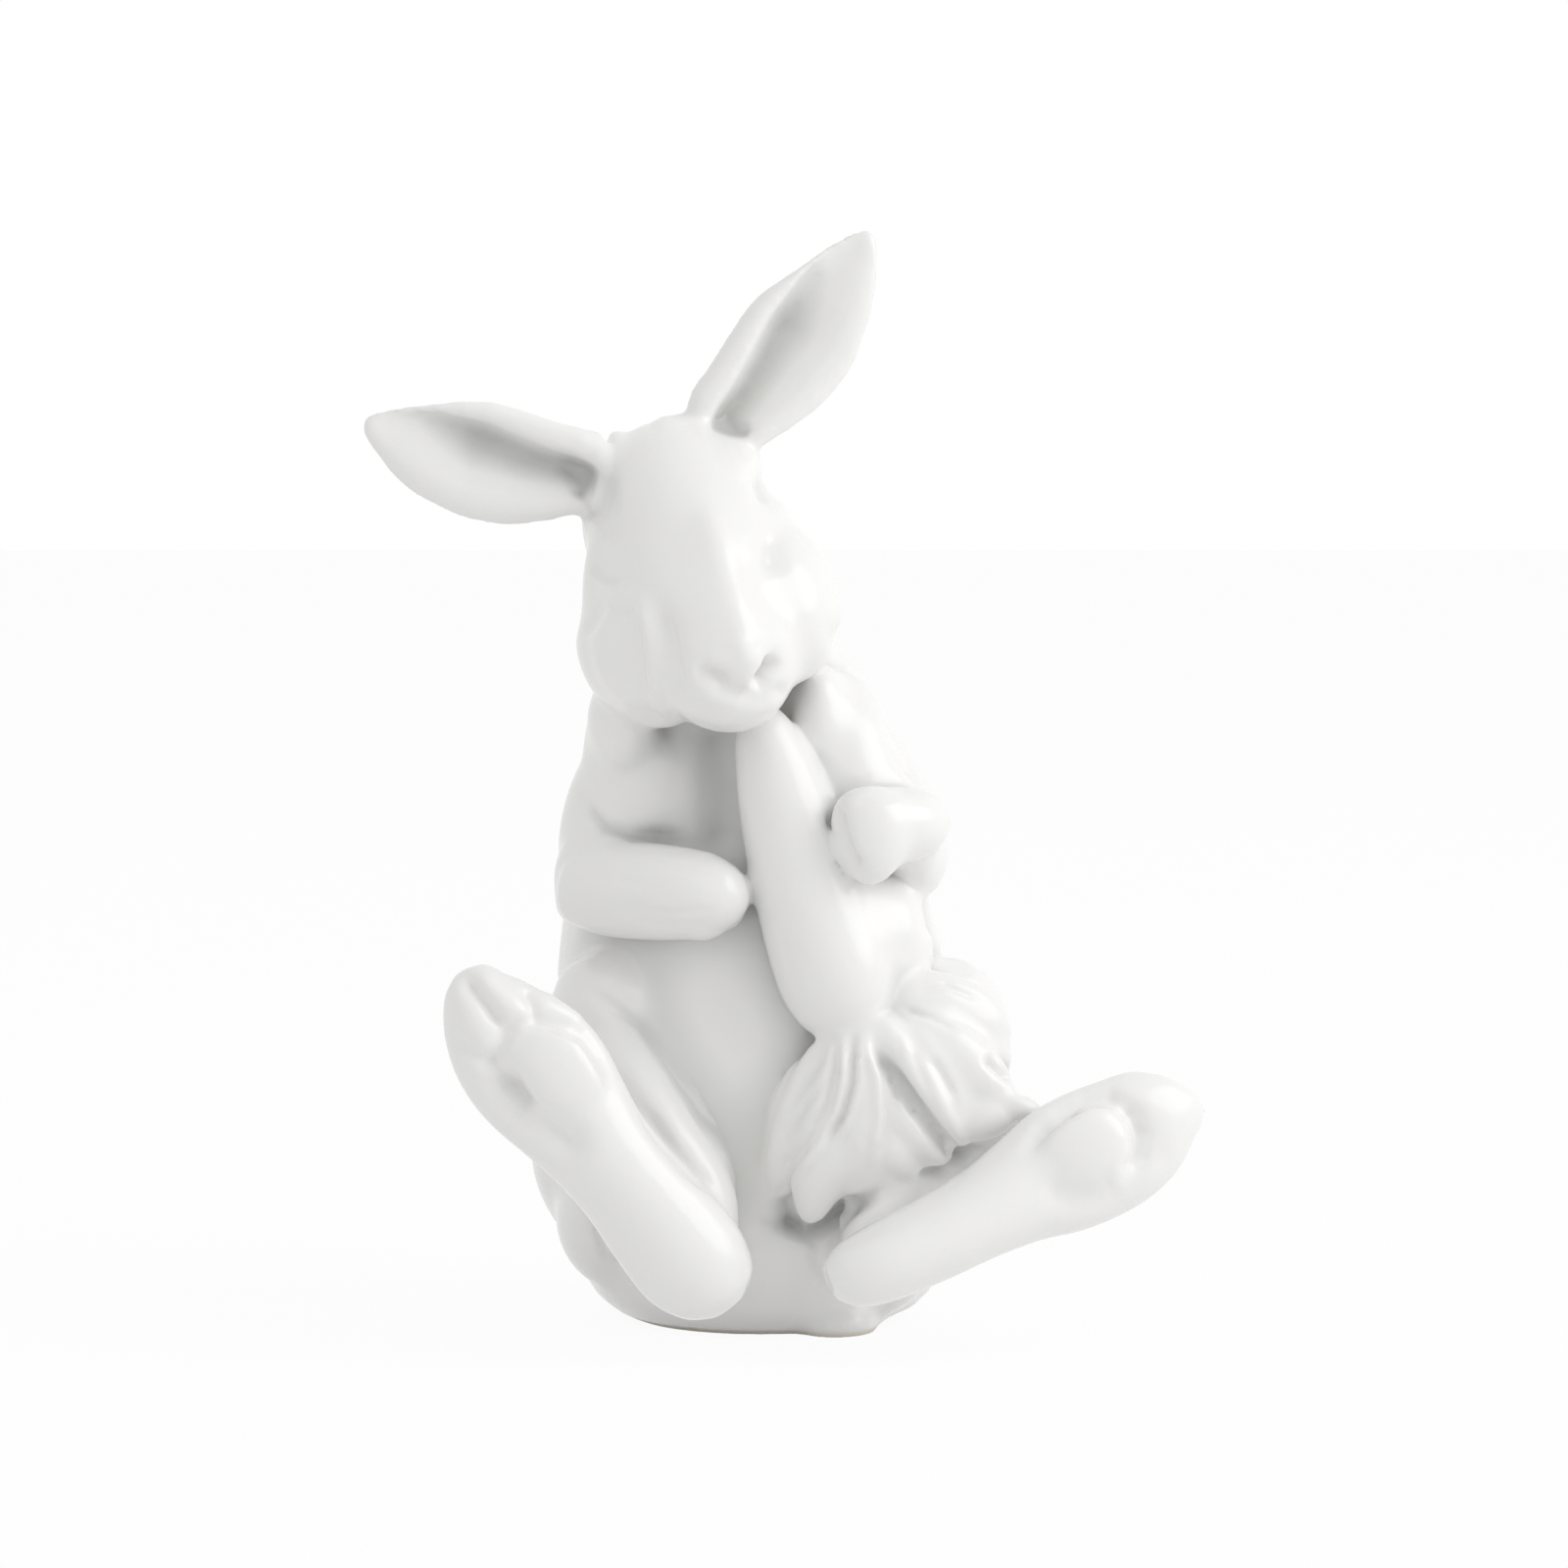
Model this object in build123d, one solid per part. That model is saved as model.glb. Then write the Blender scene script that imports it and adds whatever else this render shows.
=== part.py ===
"""Seated porcelain rabbit that hugs a carrot by its leafy end.

The figure is cast and pressed in separate pieces. They are trimmed to each other, stuck together
with slip at the seams, glazed and fired as one. The frame stands on the table at z = 0, with
x to the rabbit's left, y to its back and z up. All sizes are in millimetres.
"""
from build123d import *
import os
from functools import cache
from math import cos, radians, sin

os.makedirs("parts", exist_ok=True)

# Body casting: a hollow pear on a flat wiped foot, with one air hole for the firing
BODY_HEIGHT = 88.0
BODY_WIDTH = 48.0
BODY_DEPTH = 42.0
WALL = 2.8
AIR_HOLE = 3.2

# Head casting, and how it nods and tips on the neck, in degrees
HEAD_LENGTH = 44.0
HEAD_WIDTH = 26.0
HEAD_DEPTH = 28.0
HEAD_NOD = 35.0
HEAD_ROLL = 22.0
CHEEK_WIDTH = 15.0
CHEEK_DEPTH = 19.0

# Creases pressed in by hand for the shut eyes, the mouth and the toes
CREASE_WIDTH = 1.5

# Ears, pressed as cupped leaves
EAR_WIDTH = 14.5
EAR_DEPTH = 7.0
EAR_RIM = 1.8

# Arms and paws
UPPER_ARM_WIDTH = 14.0
FOREARM_WIDTH = 11.4
PAW_WIDTH = 10.0

# Hind legs and feet
HAUNCH_WIDTH = 24.0
SHANK_WIDTH = 13.0
FOOT_WIDTH = 16.0
FOOT_DEPTH = 12.5
PAD_WIDTH = 9.5
PAD_DEPTH = 3.6

# Tail
TAIL_WIDTH = 14.0

# Carrot and its leaves
CARROT_WIDTH = 13.8
LEAF_WIDTH = 10.0
LEAF_DEPTH = 2.4


def form(start, end, across, width, depth, ring_shares, inset=0.0):
    """A swelling solid between two points, lofted through ellipses square to the line."""
    start, end = Vector(*start), Vector(*end)
    axis = (end - start).normalized()
    side = Vector(*across)
    side = (side - axis * side.dot(axis)).normalized()
    lift = axis.cross(side)
    rings = []
    for along, half_width, half_depth, shift, rise in ring_shares:
        reach = inset + along * ((end - start).length - 2.0 * inset)
        centre = start + axis * reach + side * (shift * width) + lift * (rise * depth)
        plane = Plane(origin=centre, x_dir=side, z_dir=axis)
        rings.append(plane * Ellipse(half_width * (width - 2.0 * inset),
                                     half_depth * (depth - 2.0 * inset)))
    return loft(rings)


def largest(shape):
    """The biggest solid of a cut, without the crumbs that fall off."""
    return max(shape.solids(), key=lambda solid: solid.volume)


@cache
def box(shape):
    """The lowest and the highest corner of the box round a shape."""
    bounds = shape.bounding_box()
    return [*bounds.min], [*bounds.max]


def trim(piece, *neighbours):
    """The piece cut to sit face to face on the neighbours whose boxes reach into its own."""
    low, high = box(piece)
    for neighbour in neighbours:
        near_low, near_high = box(neighbour)
        if all(a < b for a, b in zip(low + near_low, near_high + high)):
            piece = largest(piece - neighbour)
    return piece


def at_body(x_share, y_share, z_share):
    """A point in shares of the body casting."""
    return Vector(x_share * BODY_WIDTH, y_share * BODY_DEPTH, z_share * BODY_HEIGHT)


LEFT, BACK = Vector(1, 0, 0), Vector(0, 1, 0)

# Rings of each form: along, half width, half depth, shift across and rise, as shares
egg_ring_shares = [
    (0.013, 0.112, 0.112, 0, 0),
    (0.081, 0.273, 0.273, 0, 0),
    (0.199, 0.399, 0.399, 0, 0),
    (0.343, 0.475, 0.475, 0, 0),
    (0.500, 0.500, 0.500, 0, 0),
    (0.657, 0.475, 0.475, 0, 0),
    (0.801, 0.399, 0.399, 0, 0),
    (0.919, 0.273, 0.273, 0, 0),
    (0.987, 0.112, 0.112, 0, 0),
]
limb_ring_shares = [
    (0.00, 0.28, 0.28, 0, 0),
    (0.06, 0.41, 0.41, 0, 0),
    (0.20, 0.49, 0.49, 0, 0),
    (0.45, 0.50, 0.50, 0, 0),
    (0.66, 0.47, 0.47, 0, 0),
    (0.82, 0.40, 0.40, 0, 0),
    (0.93, 0.28, 0.28, 0, 0),
    (0.98, 0.16, 0.16, 0, 0),
    (1.00, 0.08, 0.08, 0, 0),
]


def press(piece, place, crease_end_shares):
    """The piece with a shallow crease pressed in between each pair of points."""
    for end_shares in crease_end_shares:
        start, end = [place(*place_shares) for place_shares in end_shares]
        piece -= form(start, end, BACK, CREASE_WIDTH, CREASE_WIDTH, egg_ring_shares)
    return piece


# Body
body_ring_shares = [
    (0.000, 0.315, 0.357, -0.055, 0.071),
    (0.014, 0.362, 0.405, -0.060, 0.071),
    (0.045, 0.410, 0.457, -0.070, 0.076),
    (0.114, 0.462, 0.495, -0.066, 0.083),
    (0.227, 0.493, 0.507, -0.058, 0.095),
    (0.364, 0.498, 0.495, -0.062, 0.110),
    (0.500, 0.471, 0.462, -0.075, 0.129),
    (0.636, 0.429, 0.424, -0.088, 0.143),
    (0.761, 0.379, 0.376, -0.102, 0.143),
    (0.864, 0.312, 0.319, -0.115, 0.119),
    (0.943, 0.240, 0.252, -0.127, 0.081),
    (1.000, 0.146, 0.167, -0.140, 0.048),
]
air_hole_place_shares = (-0.060, 0.071, 0)
neck_hole_place_shares = (-0.140, 0.048, 1)


def body_form(inset=0.0):
    return form(at_body(0, 0, 0), at_body(0, 0, 1), LEFT, BODY_WIDTH, BODY_DEPTH, body_ring_shares,
                inset)


body_outside = body_form()
air_hole = Cylinder(AIR_HOLE / 2.0, 4.0 * WALL)
body = body_outside - body_form(WALL)
body -= Pos(*at_body(*air_hole_place_shares)) * air_hole
body -= Pos(*at_body(*neck_hole_place_shares)) * air_hole

# Head: skull with two puffed cheeks
skull_ring_shares = [
    (0.00, 0.18, 0.18, 0, -0.04),
    (0.06, 0.32, 0.33, 0, -0.03),
    (0.18, 0.44, 0.46, 0, -0.01),
    (0.35, 0.48, 0.50, 0, 0.00),
    (0.52, 0.47, 0.49, 0, -0.01),
    (0.68, 0.42, 0.44, 0, -0.03),
    (0.82, 0.345, 0.37, 0, -0.05),
    (0.92, 0.27, 0.30, 0, -0.05),
    (0.98, 0.18, 0.20, 0, -0.05),
    (1.00, 0.10, 0.11, 0, -0.05),
]
head_place_shares = (-0.217, -0.305, 1.007)
head_centre = at_body(*head_place_shares)
roll, nod = radians(HEAD_ROLL), radians(HEAD_NOD)
crown = Vector(-sin(roll), 0, cos(roll))
forward = -BACK * cos(nod) - crown * sin(nod)
brow = crown * cos(nod) - BACK * sin(nod)
sideways = Vector(cos(roll), 0, sin(roll))


def at_head(side_share, lift_share, ahead_share):
    """A point in shares of the head casting, from its middle."""
    return (head_centre + sideways * (side_share * HEAD_WIDTH) + brow * (lift_share * HEAD_DEPTH)
            + forward * (ahead_share * HEAD_LENGTH))


skull_end_shares = [(0, 0, -0.5), (0, 0, 0.5)]
cheek_end_shares = [
    [(-0.33, -0.16, -0.13), (-0.33, -0.16, 0.40)],
    [(0.30, -0.14, -0.13), (0.30, -0.14, 0.37)],
]


def head_form(inset=0.0):
    start, end = [at_head(*place_shares) for place_shares in skull_end_shares]
    head = form(start, end, sideways, HEAD_WIDTH, HEAD_DEPTH, skull_ring_shares, inset)
    for end_shares in cheek_end_shares:
        start, end = [at_head(*place_shares) for place_shares in end_shares]
        head += form(start, end, sideways, CHEEK_WIDTH, CHEEK_DEPTH, egg_ring_shares, inset)
    return head


eye_crease_end_shares = [
    [(-0.425, 0.212, 0.000), (-0.293, 0.225, 0.262)],
    [(0.435, 0.165, 0.070), (0.325, 0.185, 0.265)],
]
mouth_crease_end_shares = [
    [(-0.125, 0.080, 0.490), (0.030, -0.065, 0.505)],
    [(0.020, -0.065, 0.505), (0.215, 0.010, 0.465)],
]
head_outside = head_form()
head = largest(head_outside - head_form(WALL) - body_outside)
head = largest(press(head, at_head, eye_crease_end_shares + mouth_crease_end_shares))

# Ears: leaves with a scooped front, the front rim wider than the back one
ear_ring_shares = [
    (0.000, 0.200, 0.34, 0.000, 0),
    (0.080, 0.280, 0.42, 0.000, 0),
    (0.183, 0.352, 0.48, -0.010, 0),
    (0.287, 0.400, 0.50, 0.030, 0),
    (0.409, 0.452, 0.50, 0.060, 0),
    (0.539, 0.469, 0.47, 0.065, 0),
    (0.635, 0.435, 0.42, 0.070, 0),
    (0.757, 0.330, 0.34, 0.085, 0),
    (0.870, 0.215, 0.24, 0.075, 0),
    (0.957, 0.110, 0.15, 0.050, 0),
    (1.000, 0.040, 0.07, 0.020, 0),
]
right_ear_end_shares = [(-0.152, 0.340, -0.193), (-1.108, 0.812, -0.468)]
left_ear_end_shares = [(0.214, 0.258, -0.233), (1.304, 0.671, -0.543)]
scoop_start_share, scoop_end_share = 0.16, 0.95


def ear(end_shares, turn):
    start, end = [at_head(*place_shares) for place_shares in end_shares]
    across = (BACK * turn).cross(end - start).normalized()
    leaf = form(start, end, across, EAR_WIDTH, EAR_DEPTH, ear_ring_shares)
    drop = across * (EAR_RIM / 2.0) - BACK * EAR_RIM
    scoop = form(start + (end - start) * scoop_start_share + drop,
                 start + (end - start) * scoop_end_share + drop,
                 across, EAR_WIDTH - 2.0 * EAR_RIM, EAR_DEPTH, egg_ring_shares)
    return trim(leaf, scoop, head_outside)


right_ear = ear(right_ear_end_shares, -1)
left_ear = ear(left_ear_end_shares, 1)

# Hind legs: haunch and shank in one casting
haunch_ring_shares = [
    (0.00, 0.20, 0.20, 0, 0),
    (0.06, 0.33, 0.33, 0, 0),
    (0.18, 0.46, 0.46, 0, 0),
    (0.34, 0.52, 0.52, 0, 0),
    (0.54, 0.46, 0.46, 0, 0),
    (0.74, 0.38, 0.38, 0, 0),
    (0.89, 0.28, 0.28, 0, 0),
    (0.97, 0.17, 0.17, 0, 0),
    (1.00, 0.09, 0.09, 0, 0),
]
right_haunch_end_shares = [(-0.330, 0.300, 0.080), (-0.437, -0.271, 0.494)]
left_haunch_end_shares = [(0.220, 0.300, 0.080), (0.425, -0.217, 0.499)]
right_shank_end_shares = [(-0.420, -0.240, 0.440), (-0.150, -0.560, 0.130)]
left_shank_end_shares = [(0.390, -0.170, 0.400), (0.148, -0.590, 0.112)]


def limb(end_shares, width, ring_shares):
    """A round limb between two points of the body."""
    start, end = [at_body(*place_shares) for place_shares in end_shares]
    return form(start, end, LEFT, width, width, ring_shares)


right_leg = limb(right_haunch_end_shares, HAUNCH_WIDTH, haunch_ring_shares)
right_leg += limb(right_shank_end_shares, SHANK_WIDTH, limb_ring_shares)
left_leg = limb(left_haunch_end_shares, HAUNCH_WIDTH, haunch_ring_shares)
left_leg += limb(left_shank_end_shares, SHANK_WIDTH, limb_ring_shares)

# Feet, soles to the front
right_foot_ring_shares = [
    (0.000, 0.110, 0.13, 0.000, 0),
    (0.015, 0.200, 0.25, 0.000, 0),
    (0.050, 0.320, 0.38, -0.005, 0),
    (0.130, 0.410, 0.48, -0.020, 0),
    (0.250, 0.410, 0.50, -0.024, 0),
    (0.370, 0.378, 0.47, -0.035, 0),
    (0.480, 0.388, 0.43, -0.055, 0),
    (0.570, 0.435, 0.41, -0.060, 0),
    (0.660, 0.490, 0.40, -0.066, 0),
    (0.740, 0.495, 0.39, -0.078, 0),
    (0.820, 0.440, 0.36, -0.100, 0),
    (0.900, 0.340, 0.31, -0.105, 0),
    (0.960, 0.240, 0.22, -0.075, 0),
    (0.990, 0.140, 0.13, -0.045, 0),
    (1.000, 0.060, 0.07, -0.055, 0),
]
left_foot_ring_shares = [
    (0.000, 0.110, 0.16, -0.070, 0),
    (0.015, 0.160, 0.26, -0.075, 0),
    (0.050, 0.230, 0.38, -0.085, 0),
    (0.130, 0.280, 0.48, -0.088, 0),
    (0.270, 0.300, 0.50, -0.080, 0),
    (0.400, 0.325, 0.47, -0.050, 0),
    (0.510, 0.385, 0.43, -0.012, 0),
    (0.600, 0.455, 0.41, 0.006, 0),
    (0.690, 0.478, 0.40, 0.012, 0),
    (0.780, 0.460, 0.38, 0.018, 0),
    (0.860, 0.410, 0.34, 0.045, 0),
    (0.930, 0.305, 0.26, 0.070, 0),
    (0.980, 0.170, 0.15, 0.050, 0),
    (1.000, 0.050, 0.07, 0.020, 0),
]
right_foot_end_shares = [(-0.128, -0.714, 0.069), (-0.744, -0.690, 0.511)]
left_foot_end_shares = [(0.097, -0.786, 0.117), (1.004, -0.524, 0.317)]


right_pad_end_shares = [(-0.596, -0.781, 0.445), (-0.427, -0.800, 0.301)]
left_pad_end_shares = [(0.567, -0.752, 0.236), (0.840, -0.664, 0.290)]
right_toe_end_shares = [
    [(-0.745, -0.748, 0.492), (-0.664, -0.794, 0.438)],
    [(-0.622, -0.740, 0.484), (-0.588, -0.783, 0.448)],
    [(-0.770, -0.745, 0.406), (-0.690, -0.800, 0.398)],
]
left_toe_end_shares = [
    [(0.850, -0.590, 0.366), (0.806, -0.676, 0.316)],
    [(0.945, -0.595, 0.342), (0.850, -0.680, 0.300)],
    [(0.945, -0.615, 0.272), (0.845, -0.683, 0.262)],
]


def foot(end_shares, ring_shares, pad_end_shares, toe_end_shares, turn):
    """A foot with the ball pad raised on its sole and the toes parted."""
    start, end = [at_body(*place_shares) for place_shares in end_shares]
    across = (BACK * turn).cross(end - start)
    sole = form(start, end, across, FOOT_WIDTH, FOOT_DEPTH, ring_shares)
    start, end = [at_body(*place_shares) for place_shares in pad_end_shares]
    sole += form(start, end, BACK.cross(end - start), PAD_WIDTH, PAD_DEPTH, egg_ring_shares)
    return press(sole, at_body, toe_end_shares)


right_foot = foot(right_foot_end_shares, right_foot_ring_shares, right_pad_end_shares,
                  right_toe_end_shares, 1)
left_foot = foot(left_foot_end_shares, left_foot_ring_shares, left_pad_end_shares,
                 left_toe_end_shares, -1)

# Tail
tail_end_shares = [(-0.06, 0.42, 0.08), (-0.06, 0.747, 0.147)]
tail = limb(tail_end_shares, TAIL_WIDTH, egg_ring_shares)

# Arms
right_upper_arm_end_shares = [(-0.290, 0.0, 0.835), (-0.477, -0.167, 0.560)]
right_forearm_end_shares = [(-0.512, -0.200, 0.592), (-0.071, -0.510, 0.590)]
right_arm = limb(right_upper_arm_end_shares, UPPER_ARM_WIDTH, egg_ring_shares)
right_arm += limb(right_forearm_end_shares, FOREARM_WIDTH, limb_ring_shares)

left_upper_arm_end_shares = [(0.080, 0.019, 0.850), (0.345, -0.124, 0.570)]
left_forearm_end_shares = [(0.300, -0.110, 0.630), (0.219, -0.617, 0.678)]
left_paw_end_shares = [(0.225, -0.460, 0.740), (0.206, -0.543, 0.598)]
left_arm = limb(left_upper_arm_end_shares, UPPER_ARM_WIDTH, egg_ring_shares)
left_arm += limb(left_forearm_end_shares, FOREARM_WIDTH, limb_ring_shares)
left_arm += limb(left_paw_end_shares, PAW_WIDTH, egg_ring_shares)

# Carrot, pressed solid
carrot_ring_shares = [
    (0.00, 0.11, 0.11, 0, 0),
    (0.03, 0.18, 0.18, 0, 0),
    (0.10, 0.27, 0.27, 0, 0),
    (0.30, 0.40, 0.40, 0, 0),
    (0.55, 0.48, 0.48, 0, 0),
    (0.78, 0.50, 0.50, 0, 0),
    (0.90, 0.43, 0.43, 0, 0),
    (0.97, 0.29, 0.29, 0, 0),
    (1.00, 0.15, 0.15, 0, 0),
]
carrot_end_shares = [(-0.067, -0.320, 0.835), (0.171, -0.438, 0.403)]
carrot = limb(carrot_end_shares, CARROT_WIDTH, carrot_ring_shares)

# Leaves: a fan from the top of the carrot, in order from the rabbit's right to its left
leaf_ring_shares = [
    (0.00, 0.14, 0.50, 0, 0),
    (0.12, 0.20, 0.50, 0, 0),
    (0.35, 0.40, 0.50, 0, 0.3),
    (0.60, 0.50, 0.50, 0, 0.4),
    (0.82, 0.42, 0.50, 0, 0.2),
    (0.95, 0.22, 0.40, 0, 0),
    (1.00, 0.08, 0.25, 0, 0),
]
leaf_end_shares = [
    [(0.146, -0.405, 0.420), (-0.023, -0.430, 0.150)],
    [(0.167, -0.452, 0.420), (0.075, -0.512, 0.151)],
    [(0.188, -0.452, 0.410), (0.242, -0.520, 0.182)],
    [(0.208, -0.440, 0.410), (0.415, -0.500, 0.233)],
    [(0.219, -0.429, 0.420), (0.560, -0.430, 0.280)],
    [(0.208, -0.393, 0.443), (0.540, -0.305, 0.352)],
]
leaves = []
for end_shares in leaf_end_shares:
    start, end = [at_body(*place_shares) for place_shares in end_shares]
    leaves.append(form(start, end, (end - start).cross(BACK), LEAF_WIDTH, LEAF_DEPTH,
                       leaf_ring_shares))

# Each piece is trimmed to the ones before it
pieces = {"body": body, "head": head, "right_ear": right_ear, "left_ear": left_ear}
outsides = [body_outside, head_outside]
for name, piece in [("right_leg", right_leg), ("left_leg", left_leg), ("right_foot", right_foot),
                    ("left_foot", left_foot), ("tail", tail), ("right_arm", right_arm),
                    ("left_arm", left_arm), ("carrot", carrot)]:
    pieces[name] = trim(piece, *outsides)
    outsides.append(piece)
for number, leaf in enumerate(leaves, 1):
    pieces[f"leaf_{number}"] = trim(leaf, *outsides)
    outsides.append(leaf)

for name, piece in pieces.items():
    export_step(piece, f"parts/{name}.step")
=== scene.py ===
"""Seated porcelain rabbit that hugs a carrot: clay pieces, luted, glazed white and fired as one."""
import bpy
import bmesh
import numpy as np
from math import cos, radians, sin
from mathutils import Matrix, Vector
from mathutils.bvhtree import BVHTree


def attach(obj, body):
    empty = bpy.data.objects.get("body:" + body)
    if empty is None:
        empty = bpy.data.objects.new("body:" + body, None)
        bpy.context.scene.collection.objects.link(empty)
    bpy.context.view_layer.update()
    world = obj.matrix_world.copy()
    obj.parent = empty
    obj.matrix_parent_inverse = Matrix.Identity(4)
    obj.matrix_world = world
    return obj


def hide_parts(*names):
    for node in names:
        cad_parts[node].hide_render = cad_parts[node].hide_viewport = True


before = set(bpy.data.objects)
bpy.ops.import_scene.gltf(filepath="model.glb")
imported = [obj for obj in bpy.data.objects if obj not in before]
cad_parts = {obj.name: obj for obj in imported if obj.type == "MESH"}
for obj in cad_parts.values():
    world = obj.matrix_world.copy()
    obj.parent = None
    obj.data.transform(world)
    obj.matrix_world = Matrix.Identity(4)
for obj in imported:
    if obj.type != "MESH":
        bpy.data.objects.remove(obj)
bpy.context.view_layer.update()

# Body
# The body is a hollow porcelain casting, a pear that stands on a flat wiped foot. It is drawn from
# ring to ring, as a turner would check it with templates, and clay is pressed on for the breast,
# the flank and the lap. Sizes are in mm, and places seen are pixels across and down in the photograph.
BODY_HEIGHT, BODY_WIDTH, BODY_DEPTH = 88.0, 48.0, 42.0
LEFT, BACK = Vector((1, 0, 0)), Vector((0, 1, 0))
MM = 0.001
PHOTO_MIDDLE, PIXEL = 800, 0.1155
VIEW_DISTANCE, VIEW_TILT = 700.0, radians(4)
VIEW_MIDDLE = Vector((0, 0, 63.5))
THINNEST_SHARE = 0.005
RING_COLUMNS = 5
to_camera = Vector((0, -cos(VIEW_TILT), sin(VIEW_TILT)))
viewer = VIEW_MIDDLE + VIEW_DISTANCE * to_camera
clay = {}
marks = []
BODY_CLAY = {
    "right breast": ((656, 738, -5), (652, 860, -6.5), 14.0, 10.5),
    "front of the right shoulder": ((640, 690, -4), (618, 820, -6), 7.6, 10.0),
    "fold of the right shoulder": ((628, 690, -10), (640, 790, -7), 8.0, 12.0),
    "left flank": ((893, 880, -8), (915, 1020, -10), 11.0, 13.0),
}
FOOT_RIM_START, FOOT_RIM_END = Vector((1, -8, 1.4)), Vector((11.2, -9.5, 1.4))
FOOT_RIM_WIDTH, FOOT_RIM_DEPTH = 5.6, 12.5
LAP_CLAY = {
    "left edge of the foot": ((870, 1342, -9), (942, 1290, -1), 6.2, 11.0),
    "lap behind the carrot": ((866, 884, -13.8), (910, 1014, -14.2), 10.0, 13.0),
    "flank beside the carrot": ((896, 890, -11), (930, 1008, -12.0), 8.8, 15.0),
    "left seat": ((862, 1318, -6), (944, 1297, 4), 9.0, 9.0),
}


def seen_at(across, down, back):
    """The point, in mm, that shows at a place of the photograph, as far back as is said."""
    right = (across - PHOTO_MIDDLE) * PIXEL / VIEW_DISTANCE
    up = (PHOTO_MIDDLE - down) * PIXEL / VIEW_DISTANCE
    ray = Vector((right, cos(VIEW_TILT) + up * sin(VIEW_TILT), up * cos(VIEW_TILT) - sin(VIEW_TILT)))
    return viewer + ray * ((back - viewer.y) / ray.y)


def tool_marks(strokes, on_outline=False):
    """Notes strokes of the modelling tool for later: grooves, or ridges where the rise is over 0.

    Each has the pieces that it crosses, its way in places of the photograph, its width and its rise.
    On the outline the clay is pared or built out instead.
    """
    for pieces, way, width, rise in strokes.values():
        marks.append((pieces.split(), way, width, rise, on_outline))


def between_rings(rings, steps=5):
    """The ring table with more rings, on a smooth curve through the ones given, and all columns."""
    table = np.array(rings, dtype=float)
    table = np.pad(table, ((0, 0), (0, RING_COLUMNS - table.shape[1])))
    table = np.vstack([2 * table[0] - table[1], table, 2 * table[-1] - table[-2]])
    finer = []
    for i in range(1, len(table) - 2):
        before, here, there, after = table[i - 1:i + 3]
        for t in np.arange(steps) / steps:
            finer.append(0.5 * (2 * here + (there - before) * t
                                + (2 * before - 5 * here + 4 * there - after) * t ** 2
                                + (3 * here - before - 3 * there + after) * t ** 3))
    return finer + [table[-2]]


def lump(piece, start, end, across, width, depth, rings, segments=48):
    """Adds a swelling lump to a piece of clay: a circle, drawn on from ring to ring.

    A ring says how far along it lies, its half width and half depth, and how far it is shifted to
    the side and raised, as shares of the length, the width and the depth. What isn't said is 0.
    """
    bm = clay.setdefault(piece, bmesh.new())
    start, end = Vector(start), Vector(end)
    axis = (end - start).normalized()
    side = (across - axis * across.dot(axis)).normalized()
    turn = Matrix((side, axis.cross(side), axis)).transposed().to_4x4()
    made = bmesh.ops.create_circle(bm, cap_ends=True, segments=segments, radius=1.0)["verts"]
    ring_verts, stands_at = made, Matrix()
    edges = list({edge for vert in made for edge in vert.link_edges})
    for step, (along, half_width, half_depth, shift, rise) in enumerate(between_rings(rings)):
        half_width, half_depth = max(half_width, THINNEST_SHARE), max(half_depth, THINNEST_SHARE)
        centre = (start + (end - start) * along + side * (shift * width)
                  + axis.cross(side) * (rise * depth))
        target = (Matrix.Translation(centre * MM) @ turn
                  @ Matrix.Diagonal((half_width * width * MM, half_depth * depth * MM, MM, 1)))
        if step:
            drawn = bmesh.ops.extrude_edge_only(bm, edges=edges)["geom"]
            ring_verts = [item for item in drawn if isinstance(item, bmesh.types.BMVert)]
            edges = [item for item in drawn if isinstance(item, bmesh.types.BMEdge)]
            made = made + ring_verts
        bmesh.ops.transform(bm, matrix=target @ stands_at.inverted(), verts=ring_verts)
        stands_at = target
    bmesh.ops.edgeloop_fill(bm, edges=edges)
    faces = list({face for vert in made for face in vert.link_faces})
    bmesh.ops.recalc_face_normals(bm, faces=faces)
    return made


egg_rings = [
    (0.000, 0.000, 0.000),
    (0.013, 0.112, 0.112),
    (0.081, 0.273, 0.273),
    (0.199, 0.399, 0.399),
    (0.343, 0.475, 0.475),
    (0.500, 0.500, 0.500),
    (0.657, 0.475, 0.475),
    (0.801, 0.399, 0.399),
    (0.919, 0.273, 0.273),
    (0.987, 0.112, 0.112),
    (1.000, 0.000, 0.000),
]


def egg(piece, start, end, width, depth, across=None):
    """Adds a lump as round as an egg."""
    across = across or (end - start).cross(BACK)
    lump(piece, start, end, across, width, depth, egg_rings)


def eggs_seen(piece, lumps, across=None):
    """Adds eggs that go from one place of the photograph to another."""
    for start, end, width, depth in lumps.values():
        egg(piece, seen_at(*start), seen_at(*end), width, depth, across)


def at_body(x_share, y_share, z_share):
    """A point in shares of the body, in mm."""
    return Vector((x_share * BODY_WIDTH, y_share * BODY_DEPTH, z_share * BODY_HEIGHT))


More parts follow.
